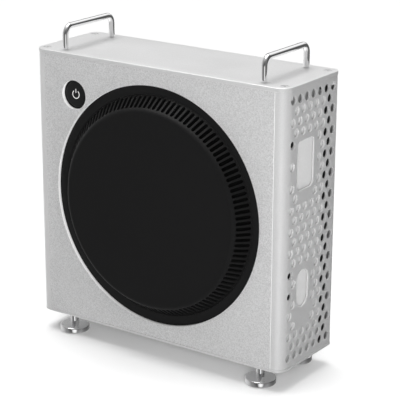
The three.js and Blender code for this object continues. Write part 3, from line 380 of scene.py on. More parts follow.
def moulded_plastic(name, value, rough, tint=(1.0, 1.0, 1.03), grain_size=0.5, bump=0.02):
    f = Finish(name, Metallic=0.0)
    f.shader.inputs["Specular IOR Level"].default_value = 0.16
    grain = f.group(GRAIN, Size=grain_size, Cloud_Size=45.0)
    edge = f.group(EDGE, Width=0.5, Break_Up=5.0)
    dust = f.group(DUST, Amount=0.35)
    colour = f.blend(grain["Speckle"], grey(value * 0.85, tint), grey(value * 1.15, tint))
    colour = f.blend(f.math("MULTIPLY", edge["Mask"], 0.5), colour, grey(value * 2.2 + 0.01))
    colour = f.blend(dust["Mask"], colour, grey(0.06, (1.0, 0.97, 0.93)))
    roughness = f.between(dust["Smear"], 0.3, 0.75, rough - 0.05, rough + 0.06)
    f.feed(Base_Color=colour, Roughness=roughness)
    f.bump(grain["Height"], bump, 0.5)
    return f.material


def coated_steel(name, value, rough=0.5):
    f = Finish(name, Metallic=0.0)
    grain = f.group(GRAIN, Size=1.1, Cloud_Size=50.0)
    edge = f.group(EDGE, Width=0.5, Break_Up=4.0)
    colour = f.blend(grain["Speckle"], grey(value * 0.8), grey(value * 1.2))
    colour = f.blend(edge["Mask"], colour, grey(0.34))
    f.feed(Base_Color=colour, Metallic=f.math("MULTIPLY", edge["Mask"], 0.8))
    f.feed(Roughness=f.between(grain["Cloud"], 0.3, 0.7, rough - 0.06, rough + 0.06))
    f.bump(grain["Height"], 0.05, 0.6)
    return f.material


def light_sheet(name):
    f = Finish(name, Metallic=0.1)
    grain = f.group(GRAIN, Size=0.9, Cloud_Size=40.0)
    colour = f.blend(grain["Speckle"], grey(0.50), grey(0.56))
    colour = f.blend(f.between(grain["Cloud"], 0.3, 0.7, 0.0, 0.2), colour, grey(0.45))
    f.feed(Base_Color=colour, Roughness=f.between(grain["Cloud"], 0.3, 0.7, 0.42, 0.55))
    f.bump(grain["Height"], 0.02, 0.5)
    return f.material


def filter_cloth(name):
    f = Finish(name, Metallic=0.0)
    weave = f.group(WEAVE, Pitch=1.4)
    grain = f.group(GRAIN, Size=0.4, Cloud_Size=25.0)
    colour = f.blend(weave["Thread"], grey(0.001), grey(0.004))
    colour = f.blend(f.between(grain["Cloud"], 0.45, 0.8, 0.0, 0.5), colour, grey(0.006))
    f.feed(Base_Color=colour, Roughness=f.between(grain["Cloud"], 0.3, 0.7, 0.7, 0.9))
    f.bump(weave["Height"], 0.2, 0.7)
    return f.material


def circuit_board(name):
    f = Finish(name, Metallic=0.0)
    place = f.add("ShaderNodeTexCoord").outputs["Object"]
    tracks = f.add("ShaderNodeTexBrick", {"Vector": place, "Scale": 90.0}).outputs["Fac"]
    grain = f.group(GRAIN, Size=2.4, Cloud_Size=9.0)
    pads = f.between(grain["Speckle"], 0.86, 0.95)
    colour = f.blend(tracks, grey(0.012, (0.7, 1.2, 0.9)), grey(0.03, (0.7, 1.3, 0.9)))
    colour = f.blend(pads, colour, (0.5, 0.36, 0.12, 1.0))
    f.feed(Base_Color=colour, Metallic=f.math("MULTIPLY", pads, 0.9))
    f.feed(Roughness=f.between(grain["Cloud"], 0.3, 0.7, 0.3, 0.45))
    f.bump(grain["Height"], 0.03, 0.5)
    return f.material


def painted_glow_symbol(name):
    # The emission is a painted glow: the symbol holds no lamp.
    f = Finish(name, Metallic=0.0, Emission_Strength=0.25)
    grain = f.group(GRAIN, Size=0.3, Cloud_Size=4.0)
    colour = f.blend(grain["Speckle"], grey(0.72), grey(0.8))
    f.feed(Base_Color=colour, Emission_Color=colour)
    f.feed(Roughness=f.between(grain["Cloud"], 0.3, 0.7, 0.35, 0.5))
    return f.material


# lip=1.0 paints the front panel's hole walls and outer edges pale and dull, a painted highlight.
PANEL_METAL = blasted_aluminium("blasted_aluminium", 0.79, 0.12, 0.52, 0.10, size=1.1, lip=1.0)
SHELL_METAL = blasted_aluminium("satin_aluminium", 0.80, 0.03, 0.50, 0.012)
CHROME = polished_chrome("polished_chrome")
STEEL = plated_steel("zinc_plated_steel")
SCREW_STEEL = blasted_aluminium("bright_screw_heads", 0.84, 0.02, 0.42, 0.01)
LINER_SHEET = light_sheet("light_liner_sheet")
GRILLE_PLASTIC = moulded_plastic("satin_black_grille", 0.005, 0.5, grain_size=0.45)
BEZEL_PLASTIC = moulded_plastic("black_bezel", 0.006, 0.42)
CAP_PLASTIC = moulded_plastic("button_black", 0.008, 0.3)
GREY_PLASTIC = moulded_plastic("moulded_grey", 0.03, 0.5, grain_size=0.8)
SOCKET_PLASTIC = moulded_plastic("socket_black", 0.012, 0.45)
BLACK_COAT = coated_steel("black_powder_coat", 0.018)
CLOTH = filter_cloth("filter_mesh")
BOARD = circuit_board("circuit_board")
FIN_METAL = blasted_aluminium("extruded_fins", 0.55, 0.03, 0.35, 0.01)
SHEATH = moulded_plastic("cable_sheath", 0.01, 0.6, grain_size=1.2, bump=0.06)
SYMBOL = painted_glow_symbol("painted_glow_symbol")

# ---------------------------------------------------------------- mesh helpers


def loop(bm, points):
    """Closed ring of edges through flat points (x, y)."""
    verts = [bm.verts.new((x, y, 0)) for x, y in points]
    return [bm.edges.new((a, b)) for a, b in zip(verts, verts[1:] + verts[:1])]


def circle(x, y, radius, segments):
    step = 2 * math.pi / segments
    return [(x + radius * math.cos(i * step), y + radius * math.sin(i * step)) for i in range(segments)]


def arc(x, y, radius, start, end, steps):
    angles = [math.radians(start + (end - start) * i / steps) for i in range(steps + 1)]
    return [(x + radius * math.cos(a), y + radius * math.sin(a)) for a in angles]


def rounded(x0, x1, y0, y1, r, steps=8):
    return (
        arc(x1 - r, y0 + r, r, -90, 0, steps)
        + arc(x1 - r, y1 - r, r, 0, 90, steps)
        + arc(x0 + r, y1 - r, r, 90, 180, steps)
        + arc(x0 + r, y0 + r, r, 180, 270, steps)
    )


def rectangle(x0, x1, y0, y1):
    return [(x0, y0), (x1, y0), (x1, y1), (x0, y1)]


def sheet(outline, holes, thickness):
    """Flat plate with holes: its outer face at z = 0, its thickness below."""
    bm = bmesh.new()
    for points in [outline, *holes]:
        loop(bm, points)
    bmesh.ops.triangle_fill(bm, use_beauty=True, edges=bm.edges[:], normal=(0, 0, 1))
    grown = bmesh.ops.extrude_face_region(bm, geom=bm.faces[:])["geom"]
    moved = [g for g in grown if isinstance(g, bmesh.types.BMVert)]
    bmesh.ops.translate(bm, verts=moved, vec=(0, 0, -thickness))
    bmesh.ops.recalc_face_normals(bm, faces=bm.faces[:])
    return bm


def break_edges(bm, offset, segments=2, keep=lambda edge: True):
    """Small bevel on the sharp edges."""
    soften(bm, [e for e in bm.edges if keep(e)], offset, segments)


def soften(bm, edges, offset, segments):
    sharp = [e for e in edges if e.is_valid and len(e.link_faces) == 2 and e.calc_face_angle(0) > 0.9]
    bmesh.ops.bevel(
        bm, geom=sharp, offset=offset, offset_type="OFFSET", segments=segments,
        profile=0.5, affect="EDGES", material=-1, clamp_overlap=True,
    )


def stand_up(bm, y):
    """Turns a plate from (x, y) to (x, z), its outer face towards -Y at the given depth."""
    bmesh.ops.transform(bm, matrix=Matrix.Rotation(math.pi / 2, 4, "X"), verts=bm.verts[:])
    bmesh.ops.translate(bm, verts=bm.verts[:], vec=(0, y, 0))


def spun(profile, segments, close=False):
    """Body of revolution about Z from pairs of radius and height."""
    bm = bmesh.new()
    verts = [bm.verts.new((r, 0, z)) for r, z in profile]
    ends = verts[1:] + verts[:1] if close else verts[1:]
    chain = [bm.edges.new((a, b)) for a, b in zip(verts, ends)]
    bmesh.ops.spin(
        bm, geom=verts + chain, cent=(0, 0, 0), axis=(0, 0, 1),
        angle=2 * math.pi, steps=segments, use_merge=True,
    )
    bmesh.ops.remove_doubles(bm, verts=bm.verts[:], dist=1e-6)
    bmesh.ops.recalc_face_normals(bm, faces=bm.faces[:])
    return bm


def place(bm, x=0.0, y=0.0, z=0.0):
    bmesh.ops.translate(bm, verts=bm.verts[:], vec=(x, y, z))
    return bm


def turn(bm, degrees, axis):
    matrix = Matrix.Rotation(math.radians(degrees), 4, axis)
    bmesh.ops.transform(bm, matrix=matrix, verts=bm.verts[:])
    return bm


def block(x0, x1, y0, y1, z0, z1, soft=0.0):
    bm = bmesh.new()
    bmesh.ops.create_cube(bm, size=1)
    bmesh.ops.scale(bm, vec=(x1 - x0, y1 - y0, z1 - z0), verts=bm.verts[:])
    place(bm, (x0 + x1) / 2, (y0 + y1) / 2, (z0 + z1) / 2)
    if soft:
        break_edges(bm, soft)
    return bm


def join(*parts):
    """One bmesh from several."""
    whole = bmesh.new()
    for part in parts:
        mesh = bpy.data.meshes.new("part")
        part.to_mesh(mesh)
        part.free()
        whole.from_mesh(mesh)
        bpy.data.meshes.remove(mesh)
    return whole


def piece(name, bm, material, body="case", nodes=(), smooth=32):
    """Turns a bmesh into a finished piece that rides on a body."""
    for face in bm.faces:
        face.smooth = True
    for edge in bm.edges:
        if len(edge.link_faces) == 2:
            edge.smooth = edge.calc_face_angle(0) < math.radians(smooth)
    mesh = bpy.data.meshes.new(name)
    bm.to_mesh(mesh)
    bm.free()
    mesh.materials.append(material)
    made = bpy.data.objects.new(name, mesh)
    bpy.context.collection.objects.link(made)
    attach(made, body)
    if nodes:
        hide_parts(*nodes)
    return made


# ---------------------------------------------------------------- front panel and plates


def front_panel():
    outline = rectangle(panel_low.x, panel_high.x, WALL_LOW, WALL_HIGH)
    opening = circle(0, CENTRE_Z, OPENING_RADIUS, 200)
    button = circle(BUTTON_X, BUTTON_Z, BUTTON_HOLE, 64)
    bm = sheet(outline, [opening, button], PANEL)
    break_edges(bm, 0.25 * MM)
    stand_up(bm, FRONT)
    piece("front_panel_fine", bm, PANEL_METAL, nodes=["front_panel"])


def plate(name, low, high, sinks, node, upper):
    front_r, rear_r = PLATE_FRONT_CORNER, PLATE_REAR_CORNER
    x, y0, y1 = high.x, low.y, high.y
    outline = (
        arc(x - rear_r, y1 - rear_r, rear_r, 0, 90, 12)
        + arc(-x + rear_r, y1 - rear_r, rear_r, 90, 180, 12)
        + arc(-x + front_r, y0 + front_r, front_r, 180, 270, 16)
        + arc(x - front_r, y0 + front_r, front_r, 270, 360, 16)
    )
    holes = [circle(sx, sy, PLATE_SINK, 28) for sx, sy in sinks]
    bm = sheet(outline, holes, high.z - low.z)
    deep = low.z - high.z
    outer = [e for e in bm.edges if not on_rim(e, sinks, RIM_REACH)]
    inner_z = deep if upper else 0.0
    inside = [e for e in outer if all(abs(v.co.z - inner_z) < 1e-7 for v in e.verts)]
    outside = [e for e in outer if all(abs(v.co.z - deep + inner_z) < 1e-7 for v in e.verts)]
    soften(bm, outside, LID_EDGE if upper else BASE_EDGE, 4)
    soften(bm, inside, 0.2 * MM, 1)
    place(bm, 0, 0, high.z)
    piece(name, bm, SHELL_METAL, nodes=[node])


def on_rim(edge, centres, radius):
    middle = (edge.verts[0].co + edge.verts[1].co) / 2
    return any(math.hypot(middle.x - x, middle.y - y) < radius for x, y in centres)


def centre_of(node):
    low, high = corners(node)
    return (low + high) / 2


PLACES = ("front_left", "front_right", "rear_left", "rear_right")
top_screws = [centre_of(f"top_screw_{p}") for p in PLACES]

front_panel()
plate("top_plate_fine", lid_low, lid_high, [(c.x, c.y) for c in top_screws], "top_plate", True)
plate("bottom_plate_fine", base_low, base_high, [], "bottom_plate", False)

# ---------------------------------------------------------------- side shells


def bend(u, w):
    """Point in plan for a distance u along the shell's skin and a depth w under it."""
    arc_length = FRONT_ARC * math.pi / 2
    straight = (REAR - REAR_ARC) - (FRONT + FRONT_ARC)
    rear_length = REAR_ARC * math.pi / 2
    if u < arc_length:
        angle = u / FRONT_ARC - math.pi / 2
        r = FRONT_ARC - w
        return SIDE - FRONT_ARC + r * math.cos(angle), FRONT + FRONT_ARC + r * math.sin(angle)
    u -= arc_length
    if u < straight:
        return SIDE - w, FRONT + FRONT_ARC + u
    u -= straight
    if u < rear_length:
        angle = u / REAR_ARC
        r = REAR_ARC - w
        return SIDE - REAR_ARC + r * math.cos(angle), REAR - REAR_ARC + r * math.sin(angle)
    return SIDE - REAR_ARC - (u - rear_length), REAR - w


def along(y):
    """Distance along the skin of a point on the side at depth y."""
    flat_start = FRONT + FRONT_ARC
    if y >= flat_start:
        return FRONT_ARC * math.pi / 2 + y - flat_start
    return FRONT_ARC * (math.pi / 2 - math.asin(min(1.0, (flat_start - y) / FRONT_ARC)))


def window_box(window):
    near, far, middle, length, _ = window
    z = CENTRE_Z + middle
    return FRONT + near, FRONT + far, z - length / 2, z + length / 2


def hole_centres(blanks):
    for row in range(HOLE_ROWS):
        odd = row % 2
        z = CENTRE_Z + (row - (HOLE_ROWS - 1) / 2) * ROW_PITCH
        for column in range(HOLE_COLUMNS - odd):
            y = (FRONT + REAR) / 2 + (column + odd / 2 - (HOLE_COLUMNS - 1) / 2) * COLUMN_PITCH
            gaps = [
                math.hypot(max(y0 - y, 0, y - y1), max(z0 - z, 0, z - z1))
                for y0, y1, z0, z1 in blanks
            ]
            if all(gap > HOLE_RADIUS + WEB for gap in gaps):
                yield y, z


def side_shell(name, node, sign, blanks, windows):
    arc_length, rear_length = FRONT_ARC * math.pi / 2, REAR_ARC * math.pi / 2
    straight = (REAR - REAR_ARC) - (FRONT + FRONT_ARC)
    total = arc_length + straight + rear_length + REAR_LIP
    holes = []
    for y, z in hole_centres(blanks):
        ring = circle(y, z, HOLE_RADIUS, HOLE_SEGMENTS)
        holes.append([(along(py), pz) for py, pz in ring])
    holes += [[(along(py), pz) for py, pz in ring] for ring in windows]
    bm = sheet(rectangle(0, total, WALL_LOW, WALL_HIGH), holes, SHEET)
    break_edges(bm, 0.22 * MM, 1, lambda e: all(v.co.z > -SHEET / 2 for v in e.verts))
    cuts = [arc_length * i / 14 for i in range(1, 15)]
    cuts += [arc_length + straight + rear_length * i / 10 for i in range(11)]
    for u in cuts:
        everything = bm.verts[:] + bm.edges[:] + bm.faces[:]
        bmesh.ops.bisect_plane(bm, geom=everything, dist=1e-7, plane_co=(u, 0, 0), plane_no=(1, 0, 0))
    for v in bm.verts:
        u, z, w = v.co.x, v.co.y, -v.co.z
        x, y = bend(u, w)
        v.co = (sign * x, y, z)
    bmesh.ops.recalc_face_normals(bm, faces=bm.faces[:])
    tabs = []
    for place_name in ("front_right", "rear_right"):
        c = centre_of(f"top_screw_{place_name}")
        x0, x1 = sorted((sign * (c.x - TAB_REACH), sign * (SIDE - SHEET)))
        y0, y1 = c.y - TAB / 2, c.y + TAB / 2
        tabs.append(block(x0, x1, y0, y1, WALL_HIGH - TAB, WALL_HIGH - 0.2 * MM, 0.4 * MM))
    piece(name, join(bm, *tabs), SHELL_METAL, nodes=[node], smooth=24)


upper_box, lower_box = window_box(UPPER_WINDOW), window_box(LOWER_WINDOW)
lower_blank = (lower_box[0], lower_box[1], lower_box[2] - LOWER_BLANK, lower_box[3])
right_windows = [rounded(*upper_box, UPPER_WINDOW[4]), rounded(*lower_box, LOWER_WINDOW[4] - 0.01 * MM, 12)]
side_shell("right_shell_fine", "right_side_shell", 1, [upper_box, lower_blank], right_windows)

def liner_return(name, points):
    """Bent end of the liner: a thin strip between the two depths of the liner itself."""
    low, high = corners("right_inner_liner")
    bm = sheet(points, [], high.y - low.y)
    stand_up(bm, low.y)
    piece(name, bm, LINER_SHEET)


liner_low, liner_high = corners("right_inner_liner")
skin, fold, thick = liner_high.x, 0.1 * MM, 1.2 * MM
UPPER_LEAN, LOWER_LEAN = 7 * MM, 2.4 * MM
top_end = liner_high.z + 5.8 * MM
liner_return("liner_upper_return", [
    (skin, liner_high.z + fold), (skin - UPPER_LEAN, top_end),
    (skin - UPPER_LEAN - thick, top_end), (skin - thick, liner_high.z + fold),
])
low_end = WALL_LOW + 4 * MM
liner_return("liner_lower_return", [
    (skin, liner_low.z - fold), (skin - thick, liner_low.z - fold),
    (skin - LOWER_LEAN - thick, low_end), (skin - LOWER_LEAN, low_end),
])

shield_low, shield_high = corners("io_shield")
supply_low, supply_high = corners("psu_housing")
WINDOW_LIP = 1.5 * MM


def inset_window(low, high):
    return (low.y + WINDOW_LIP, high.y - WINDOW_LIP, low.z + WINDOW_LIP, high.z - WINDOW_LIP)


shield_window = inset_window(shield_low, shield_high)
supply_window = inset_window(supply_low, supply_high)
beside_shield = (FRONT, shield_window[1], shield_window[2], shield_window[3])
left_windows = [rounded(*shield_window, 0.8 * MM, 4), rounded(*supply_window, 0.8 * MM, 4)]
side_shell("left_shell_fine", "left_side_shell", -1, [beside_shield, supply_window], left_windows)

# ---------------------------------------------------------------- grille


def cone_point(s):
    """Radius and depth on the cone at a share s of its slant, from the disc outwards."""
    radius = CONE_INNER + (CONE_OUTER - CONE_INNER) * s
    depth = -CONE_PROUD + (BEZEL_DEPTH + CONE_PROUD) * s
    return radius, depth


def slotted_cone():
    slant = math.hypot(CONE_OUTER - CONE_INNER, BEZEL_DEPTH + CONE_PROUD)
    cell = 2 * math.pi / SLOT_COUNT
    spread = (CONE_OUTER - CONE_INNER) / slant
    start = (SLOT_INNER - CONE_INNER) / spread
    end = (SLOT_OUTER - CONE_INNER) / spread
    half = SLOT_WIDTH / 2
    inner_half, outer_half = cell * CONE_INNER / 2, cell * CONE_OUTER / 2
    outline = [(-inner_half, 0), (inner_half, 0), (outer_half, slant), (-outer_half, slant)]
    slot = arc(0, end - half, half, 0, 180, 8) + arc(0, start + half, half, 180, 360, 8)
    bm = sheet(outline, [slot], GRILLE_SKIN)
    walls = [f for f in bm.faces if abs(f.normal.z) < 0.1 and is_cell_wall(f, slant, cell, spread)]
    bmesh.ops.delete(bm, geom=walls, context="FACES")
    tilt = Vector((spread, (BEZEL_DEPTH + CONE_PROUD) / slant))
    for v in bm.verts:
        x, s, w = v.co
        radius, depth = cone_point(s / slant)
        angle = x / radius
        radius += w * tilt.y
        depth += -w * tilt.x
        v.co = (radius * math.sin(angle), depth, radius * math.cos(angle))
    source = bm.verts[:] + bm.edges[:] + bm.faces[:]
    bmesh.ops.spin(
        bm, geom=source, cent=(0, 0, 0), axis=(0, 1, 0), angle=2 * math.pi,
        steps=SLOT_COUNT, use_duplicate=True,
    )
    bmesh.ops.remove_doubles(bm, verts=bm.verts[:], dist=0.01 * MM)
    return bm


def is_cell_wall(face, slant, cell, spread):
    """True for the walls round one cell, false for the walls of its slot."""
    for v in face.verts:
        edge = cell * (CONE_INNER + v.co.y * spread) / 2
        on_side = abs(abs(v.co.x) - edge) < 0.01 * MM
        on_end = v.co.y < 0.01 * MM or v.co.y > slant - 0.01 * MM
        if not (on_side or on_end):
            return False
    return True


def front_grille():
    cone = slotted_cone()
    wall = GRILLE_SKIN
    face = -DISC_PROUD
    rim = 1.4 * MM
    lip = cone_point(0)
    edge = cone_point(1)
    front = [(0, face), (DISC_RADIUS * 0.5, face), (DISC_RADIUS - 2.2 * MM, face)]
    front += [(DISC_RADIUS - 1.2 * MM, face + 0.05 * MM), (DISC_RADIUS, face + 0.3 * MM)]
    front += [(DISC_RADIUS + rim, face + 1.0 * MM), lip]
    slope = Vector((CONE_OUTER - CONE_INNER, BEZEL_DEPTH + CONE_PROUD)).normalized()
    inward = Vector((-slope.y, slope.x)) * wall
    back = [(lip[0] + inward.x, lip[1] + inward.y), (DISC_RADIUS - wall, face + wall), (0, face + wall)]
    foot = BEZEL_DEPTH + GRILLE_WALL
    outer = [edge, (edge[0], foot), (edge[0] - 1.6 * MM, foot)]
    outer += [(edge[0] + inward.x, edge[1] + inward.y)]
    parts = [cone]
    for profile in (front, back, outer):
        bm = spun([(r, -d) for r, d in profile], SLOT_COUNT)
        turn(bm, 90, "X")
        parts.append(turn(bm, 360 / SLOT_COUNT / 2, "Y"))
    whole = join(*parts)
    bmesh.ops.remove_doubles(whole, verts=whole.verts[:], dist=0.03 * MM)
    bmesh.ops.recalc_face_normals(whole, faces=whole.faces[:])
    place(whole, 0, FRONT, CENTRE_Z)
    piece("front_grille_fine", whole, GRILLE_PLASTIC, nodes=["front_grille"], smooth=35)


def grille_bezel():
    inner, outer = CONE_OUTER + 0.3 * MM, OPENING_RADIUS + 1.8 * MM
    bm = spun([(inner, 0), (outer, 0), (outer, -GRILLE_WALL), (inner, -GRILLE_WALL)], 180, close=True)
    ears = []
    for i in range(4):
        ear = block(outer - 2 * MM, bezel_high.x, -EAR, EAR, -GRILLE_WALL, 0, 0.4 * MM)
        ears.append(turn(ear, 90 * i, "Z"))
    whole = join(bm, *ears)
    turn(whole, 90, "X")
    place(whole, 0, bezel_low.y, CENTRE_Z)
    piece("grille_bezel_fine", whole, BEZEL_PLASTIC, nodes=["grille_bezel"])


front_grille()
grille_bezel()

# ---------------------------------------------------------------- power button


def power_button():
    r, deep = CAP_RADIUS, cap_high.y - cap_low.y
    skirt = r - 2 * MM
    profile = [(0, 0), (r - 1.1 * MM, 0), (r - 0.5 * MM, -0.12 * MM), (r - 0.15 * MM, -0.4 * MM)]
    profile += [(r, -0.9 * MM), (r, -CAP_SKIRT), (skirt, -CAP_SKIRT), (skirt, -2 * MM)]
    profile += [(2 * MM, -2 * MM), (2 * MM, -deep), (0, -deep)]
    bm = turn(spun(profile, 64), 90, "X")
    place(bm, BUTTON_X, cap_low.y, BUTTON_Z)
    piece("power_cap_fine", bm, CAP_PLASTIC, "power_button", ["power_button_cap"])

    ring_radius, line = SYMBOL_RADIUS, SYMBOL_LINE
    stroke = bmesh.new()
    bmesh.ops.create_circle(stroke, cap_ends=True, radius=line / 2, segments=4)
    bmesh.ops.rotate(stroke, verts=stroke.verts[:], matrix=Matrix.Rotation(math.pi / 4, 3, "Z"))
    bmesh.ops.scale(stroke, vec=(1.41, 0.2, 1), verts=stroke.verts[:])
    bmesh.ops.rotate(stroke, verts=stroke.verts[:], matrix=Matrix.Rotation(math.pi / 2, 3, "X"))
    place(stroke, ring_radius, 0, 0)
    turn(stroke, 90 + SYMBOL_GAP, "Z")
    bmesh.ops.spin(
        stroke, geom=stroke.faces[:] + stroke.edges[:] + stroke.verts[:], cent=(0, 0, 0),
        axis=(0, 0, 1), angle=math.radians(360 - 2 * SYMBOL_GAP), steps=40,
    )
    bmesh.ops.recalc_face_normals(stroke, faces=stroke.faces[:])
    low, high = ring_radius - 2.9 * MM, ring_radius + 1.5 * MM
    bar = block(-line / 2, line / 2, low, high, -0.1 * MM, SYMBOL_PROUD, 0.05 * MM)
    mark = join(stroke, bar)
    turn(mark, 90, "X")
    place(mark, BUTTON_X, cap_low.y, BUTTON_Z)
    piece("power_symbol", mark, SYMBOL, "power_button")


def button_sleeve():
    bore, outer = CAP_RADIUS + 0.3 * MM, BUTTON_HOLE + 1.1 * MM
    deep = housing_high.y - housing_low.y
    floor = deep - 1.5 * MM
    guide = 2.6 * MM
    profile = [(bore + 0.3 * MM, 0), (outer, 0), (outer, -1.5 * MM), (bore + 1.8 * MM, -1.5 * MM)]
    profile += [(bore + 1.8 * MM, -deep), (guide, -deep), (guide, -floor)]
    profile += [(bore, -floor), (bore, -0.3 * MM)]
    bm = turn(spun(profile, 64, close=True), 90, "X")
    place(bm, BUTTON_X, housing_low.y, BUTTON_Z)
    piece("button_sleeve_fine", bm, BEZEL_PLASTIC, nodes=["button_housing"])


power_button()
button_sleeve()

# ---------------------------------------------------------------- handles, feet and screws


ROD_RADIUS, HANDLE_BEND = 3.15 * MM, 9 * MM


def rod_handle(name, node):
    low, high = corners(node)
    radius, bend_radius = ROD_RADIUS, HANDLE_BEND
    x = (low.x + high.x) / 2
    y0, y1 = low.y + radius, high.y - radius
    top = high.z - radius
    bm = bmesh.new()
    bmesh.ops.create_circle(bm, cap_ends=True, radius=radius, segments=28)
    place(bm, x, y0, low.z)
    bmesh.ops.reverse_faces(bm, faces=bm.faces[:])

    def straight(faces, vec):
        grown = bmesh.ops.extrude_discrete_faces(bm, faces=faces)["faces"]
        verts = {v for f in grown for v in f.verts}
        bmesh.ops.translate(bm, verts=list(verts), vec=vec)
        return grown

    def corner(faces, centre):
        geom = faces + [e for f in faces for e in f.edges] + [v for f in faces for v in f.verts]
        done = bmesh.ops.spin(
            bm, geom=geom, cent=centre, axis=(-1, 0, 0), angle=math.pi / 2, steps=12,
        )
        return [g for g in done["geom_last"] if isinstance(g, bmesh.types.BMFace)]

    end = bm.faces[:]
    end = straight(end, (0, 0, top - bend_radius - low.z))
    end = corner(end, (x, y0 + bend_radius, top - bend_radius))
    end = straight(end, (0, y1 - y0 - 2 * bend_radius, 0))
    end = corner(end, (x, y1 - bend_radius, top - bend_radius))
    straight(end, (0, 0, low.z - top + bend_radius))
    bmesh.ops.remove_doubles(bm, verts=bm.verts[:], dist=1e-6)
    inner = [f for f in bm.faces if len(f.verts) > 4 and f.calc_center_median().z > low.z + 1e-4]
    bmesh.ops.delete(bm, geom=inner, context="FACES_ONLY")
    bmesh.ops.recalc_face_normals(bm, faces=bm.faces[:])
    piece(name, bm, CHROME, nodes=[node], smooth=40)


for side in ("left", "right"):
    rod_handle(f"handle_{side}_fine", f"handle_{side}")


FOOT_RADIUS, FOOT_DISC = 16.5 * MM, 7.5 * MM
STEM_RADIUS, STUD = 4.6 * MM, 3 * MM


def chrome_foot(name, node):
    low, high = corners(node)
    r = FOOT_RADIUS
    height = base_low.z - 0.3 * MM
    disc, soft = FOOT_DISC, 1.6 * MM
    lower, upper = r - soft, disc - soft - 0.4 * MM
    profile = [(0, 0), (lower - 0.6 * MM, 0)]
    profile += arc(lower, soft + 0.4 * MM, soft, -75, 0, 5) + arc(lower, upper, soft, 0, 80, 5)
    profile += [(lower - 1 * MM, disc - 0.2 * MM), (7 * MM, disc), (STEM_RADIUS, disc + 0.1 * MM)]
    profile += [(STEM_RADIUS, height - 1.6 * MM), (6.3 * MM, height - 1.5 * MM)]
    profile += [(6.5 * MM, height - 1.3 * MM), (6.5 * MM, height)]
    profile += [(STUD, height), (STUD, high.z), (0, high.z)]
    bm = spun(profile, 56)
    centre = (low + high) / 2
    place(bm, centre.x, centre.y, 0)
    piece(name, bm, CHROME, nodes=[node], smooth=40)


for spot in PLACES:
    chrome_foot(f"foot_{spot}_fine", f"foot_{spot}")


def socket_screw(head, cone, shank, length, socket, segments=32):
    """Countersunk screw with a six-sided socket, its face at z = 0."""
    bm = bmesh.new()
    rim = loop(bm, circle(0, 0, head, segments))
    hexagon = loop(bm, circle(0, 0, socket, 6))
    bmesh.ops.triangle_fill(bm, use_beauty=True, edges=rim + hexagon, normal=(0, 0, 1))

    def step(edges, factor, depth):
        grown = bmesh.ops.extrude_edge_only(bm, edges=edges)["geom"]
        verts = [g for g in grown if isinstance(g, bmesh.types.BMVert)]
        bmesh.ops.scale(bm, vec=(factor, factor, 1), verts=verts)
        bmesh.ops.translate(bm, verts=verts, vec=(0, 0, -depth))
        return [g for g in grown if isinstance(g, bmesh.types.BMEdge)]

    well = step(hexagon, 1.0, 1.5 * MM)
    bmesh.ops.edgeloop_fill(bm, edges=well)
    body = step(rim, 1.0, 0.25 * MM)
    body = step(body, shank / head, cone)
    body = step(body, 1.0, length - cone)
    bmesh.ops.edgeloop_fill(bm, edges=body)
    bmesh.ops.recalc_face_normals(bm, faces=bm.faces[:])
    return bm


SCREW_HEAD, SCREW_CONE, SCREW_SHANK, SCREW_SOCKET = 3.9 * MM, 1.9 * MM, 2 * MM, 1.35 * MM
for spot, centre in zip(PLACES, top_screws):
    low, high = corners(f"top_screw_{spot}")
    bm = socket_screw(SCREW_HEAD, SCREW_CONE, SCREW_SHANK, high.z - low.z, SCREW_SOCKET)
    place(bm, centre.x, centre.y, high.z)
    piece(f"top_screw_{spot}_fine", bm, SCREW_STEEL, nodes=[f"top_screw_{spot}"])

# ---------------------------------------------------------------- carried-over nodes

FINISH_OF = {
    "right_inner_liner": LINER_SHEET,
    "rear_cover": SHELL_METAL,
    "dust_filter": CLOTH,
    "front_fan_frame": GREY_PLASTIC,
    "cpu_fan_frame": GREY_PLASTIC,
    "button_switch": GREY_PLASTIC,
    "io_port_block": SOCKET_PLASTIC,
    "psu_inlet": SOCKET_PLASTIC,
    "psu_rocker": SOCKET_PLASTIC,
    "motherboard_tray": BLACK_COAT,
    "psu_housing": BLACK_COAT,
    "solid_state_drive": BLACK_COAT,
    "motherboard": BOARD,
    "psu_circuit": BOARD,
    "cpu_heatsink": FIN_METAL,
    "cpu_package": STEEL,
    "io_shield": STEEL,
    "button_spring": STEEL,
    "main_power_cable": SHEATH,
    "button_cable": SHEATH,
}


def finish_for(node):
    if node in FINISH_OF:
        return FINISH_OF[node]
    if node.endswith("_rotor"):
        return GREY_PLASTIC
    if node.startswith("memory"):
        return BLACK_COAT
    return STEEL


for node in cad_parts:
    held = bpy.data.objects.get(node)
    if held is None:
        continue
    held.data.materials.clear()
    held.data.materials.append(finish_for(node))

# ---------------------------------------------------------------- studio


def glow(n, ray, towards, start, amount):
    """Light that the surroundings gain or lose round one direction."""
    facing = n.add("ShaderNodeVectorMath", {0: ray, 1: towards}, operation="DOT_PRODUCT")
    inputs = {"Value": facing.outputs["Value"], "From Min": start, "To Max": amount}
    return n.add("ShaderNodeMapRange", inputs, interpolation_type="SMOOTHSTEP").outputs[0]


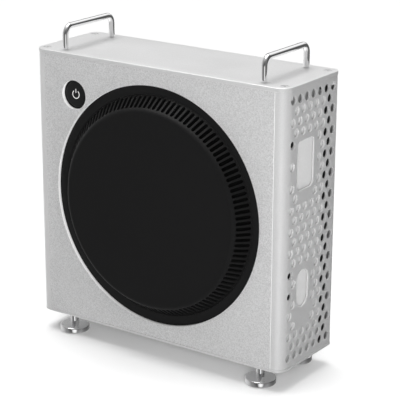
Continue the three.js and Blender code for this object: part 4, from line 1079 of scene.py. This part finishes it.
def surroundings():
    world = bpy.data.worlds.new("studio")
    bpy.context.scene.world = world
    world.use_nodes = True
    n = Nodes(world.node_tree)
    ray = n.add("ShaderNodeTexCoord").outputs["Generated"]
    total = n.math("ADD", AMBIENT, glow(n, ray, (0.57, -0.82, 0.0), 0.45, FRONT_RIGHT_GLOW))
    total = n.math("ADD", total, glow(n, ray, (-0.5, -0.8, -0.3), 0.2, FRONT_LEFT_GLOW))
    total = n.math("ADD", total, glow(n, ray, (0.6, 0.75, 0.2), 0.1, BACK_RIGHT_GLOW))
    total = n.math("ADD", total, glow(n, ray, (0.0, 0.0, 1.0), 0.6, OVERHEAD_GLOW))
    total = n.math("ADD", total, glow(n, ray, (0.54, -0.78, -0.31), 0.92, LEG_GLOW))
    total = n.math("ADD", total, glow(n, ray, (-0.97, 0.0, -0.22), 0.55, LEFT_GLOW))
    total = n.math("ADD", total, glow(n, ray, (0.1, 0.8, 0.6), 0.82, BACK_GLOW))
    sky = world.node_tree.nodes["Background"]
    n.set(sky, "Color", grey(1.0))
    n.set(sky, "Strength", total)


def floor():
    bm = bmesh.new()
    bmesh.ops.create_grid(bm, x_segments=1, y_segments=1, size=9)
    mesh = bpy.data.meshes.new("floor")
    bm.to_mesh(mesh)
    bm.free()
    ground = bpy.data.objects.new("floor", mesh)
    bpy.context.collection.objects.link(ground)
    pale = Finish("pale_floor", Roughness=0.6)
    cloud = pale.group(GRAIN, Size=3.0, Cloud_Size=400.0)["Cloud"]
    pale.feed(Base_Color=pale.blend(cloud, grey(0.86), grey(0.89)))
    mesh.materials.append(pale.material)
    ground.visible_glossy = False


def lamp(name, kind, where, power):
    data = bpy.data.lights.new(name, kind)
    data.energy = power
    made = bpy.data.objects.new(name, data)
    bpy.context.collection.objects.link(made)
    made.location = where
    made.rotation_mode = "QUATERNION"
    made.rotation_quaternion = (HEART - Vector(where)).to_track_quat("-Z", "Y")
    return made


HEART = Vector((0, 0, 0.17))
AMBIENT = 0.38
FRONT_RIGHT_GLOW = -0.24
FRONT_LEFT_GLOW = -0.14
BACK_RIGHT_GLOW = -0.3
OVERHEAD_GLOW = 0.3
LEG_GLOW = 0.9  # bright line down the middle of the chrome legs
LEFT_GLOW = 0.32
BACK_GLOW = 0.9  # bright line along the handles

OVERHEAD_PLACE, OVERHEAD_POWER = (-0.3, 0, 2.3), 2.3
SIDE_BOX_PLACE, SIDE_BOX_POWER = (0.6, -0.75, 0.32), 9

bpy.context.scene.view_settings.view_transform = "Standard"
surroundings()
floor()
lamp("overhead", "SUN", OVERHEAD_PLACE, OVERHEAD_POWER).data.angle = math.radians(44)
side_box = lamp("side_box", "AREA", SIDE_BOX_PLACE, SIDE_BOX_POWER)
side_box.data.size = 0.35
side_box.visible_glossy = False
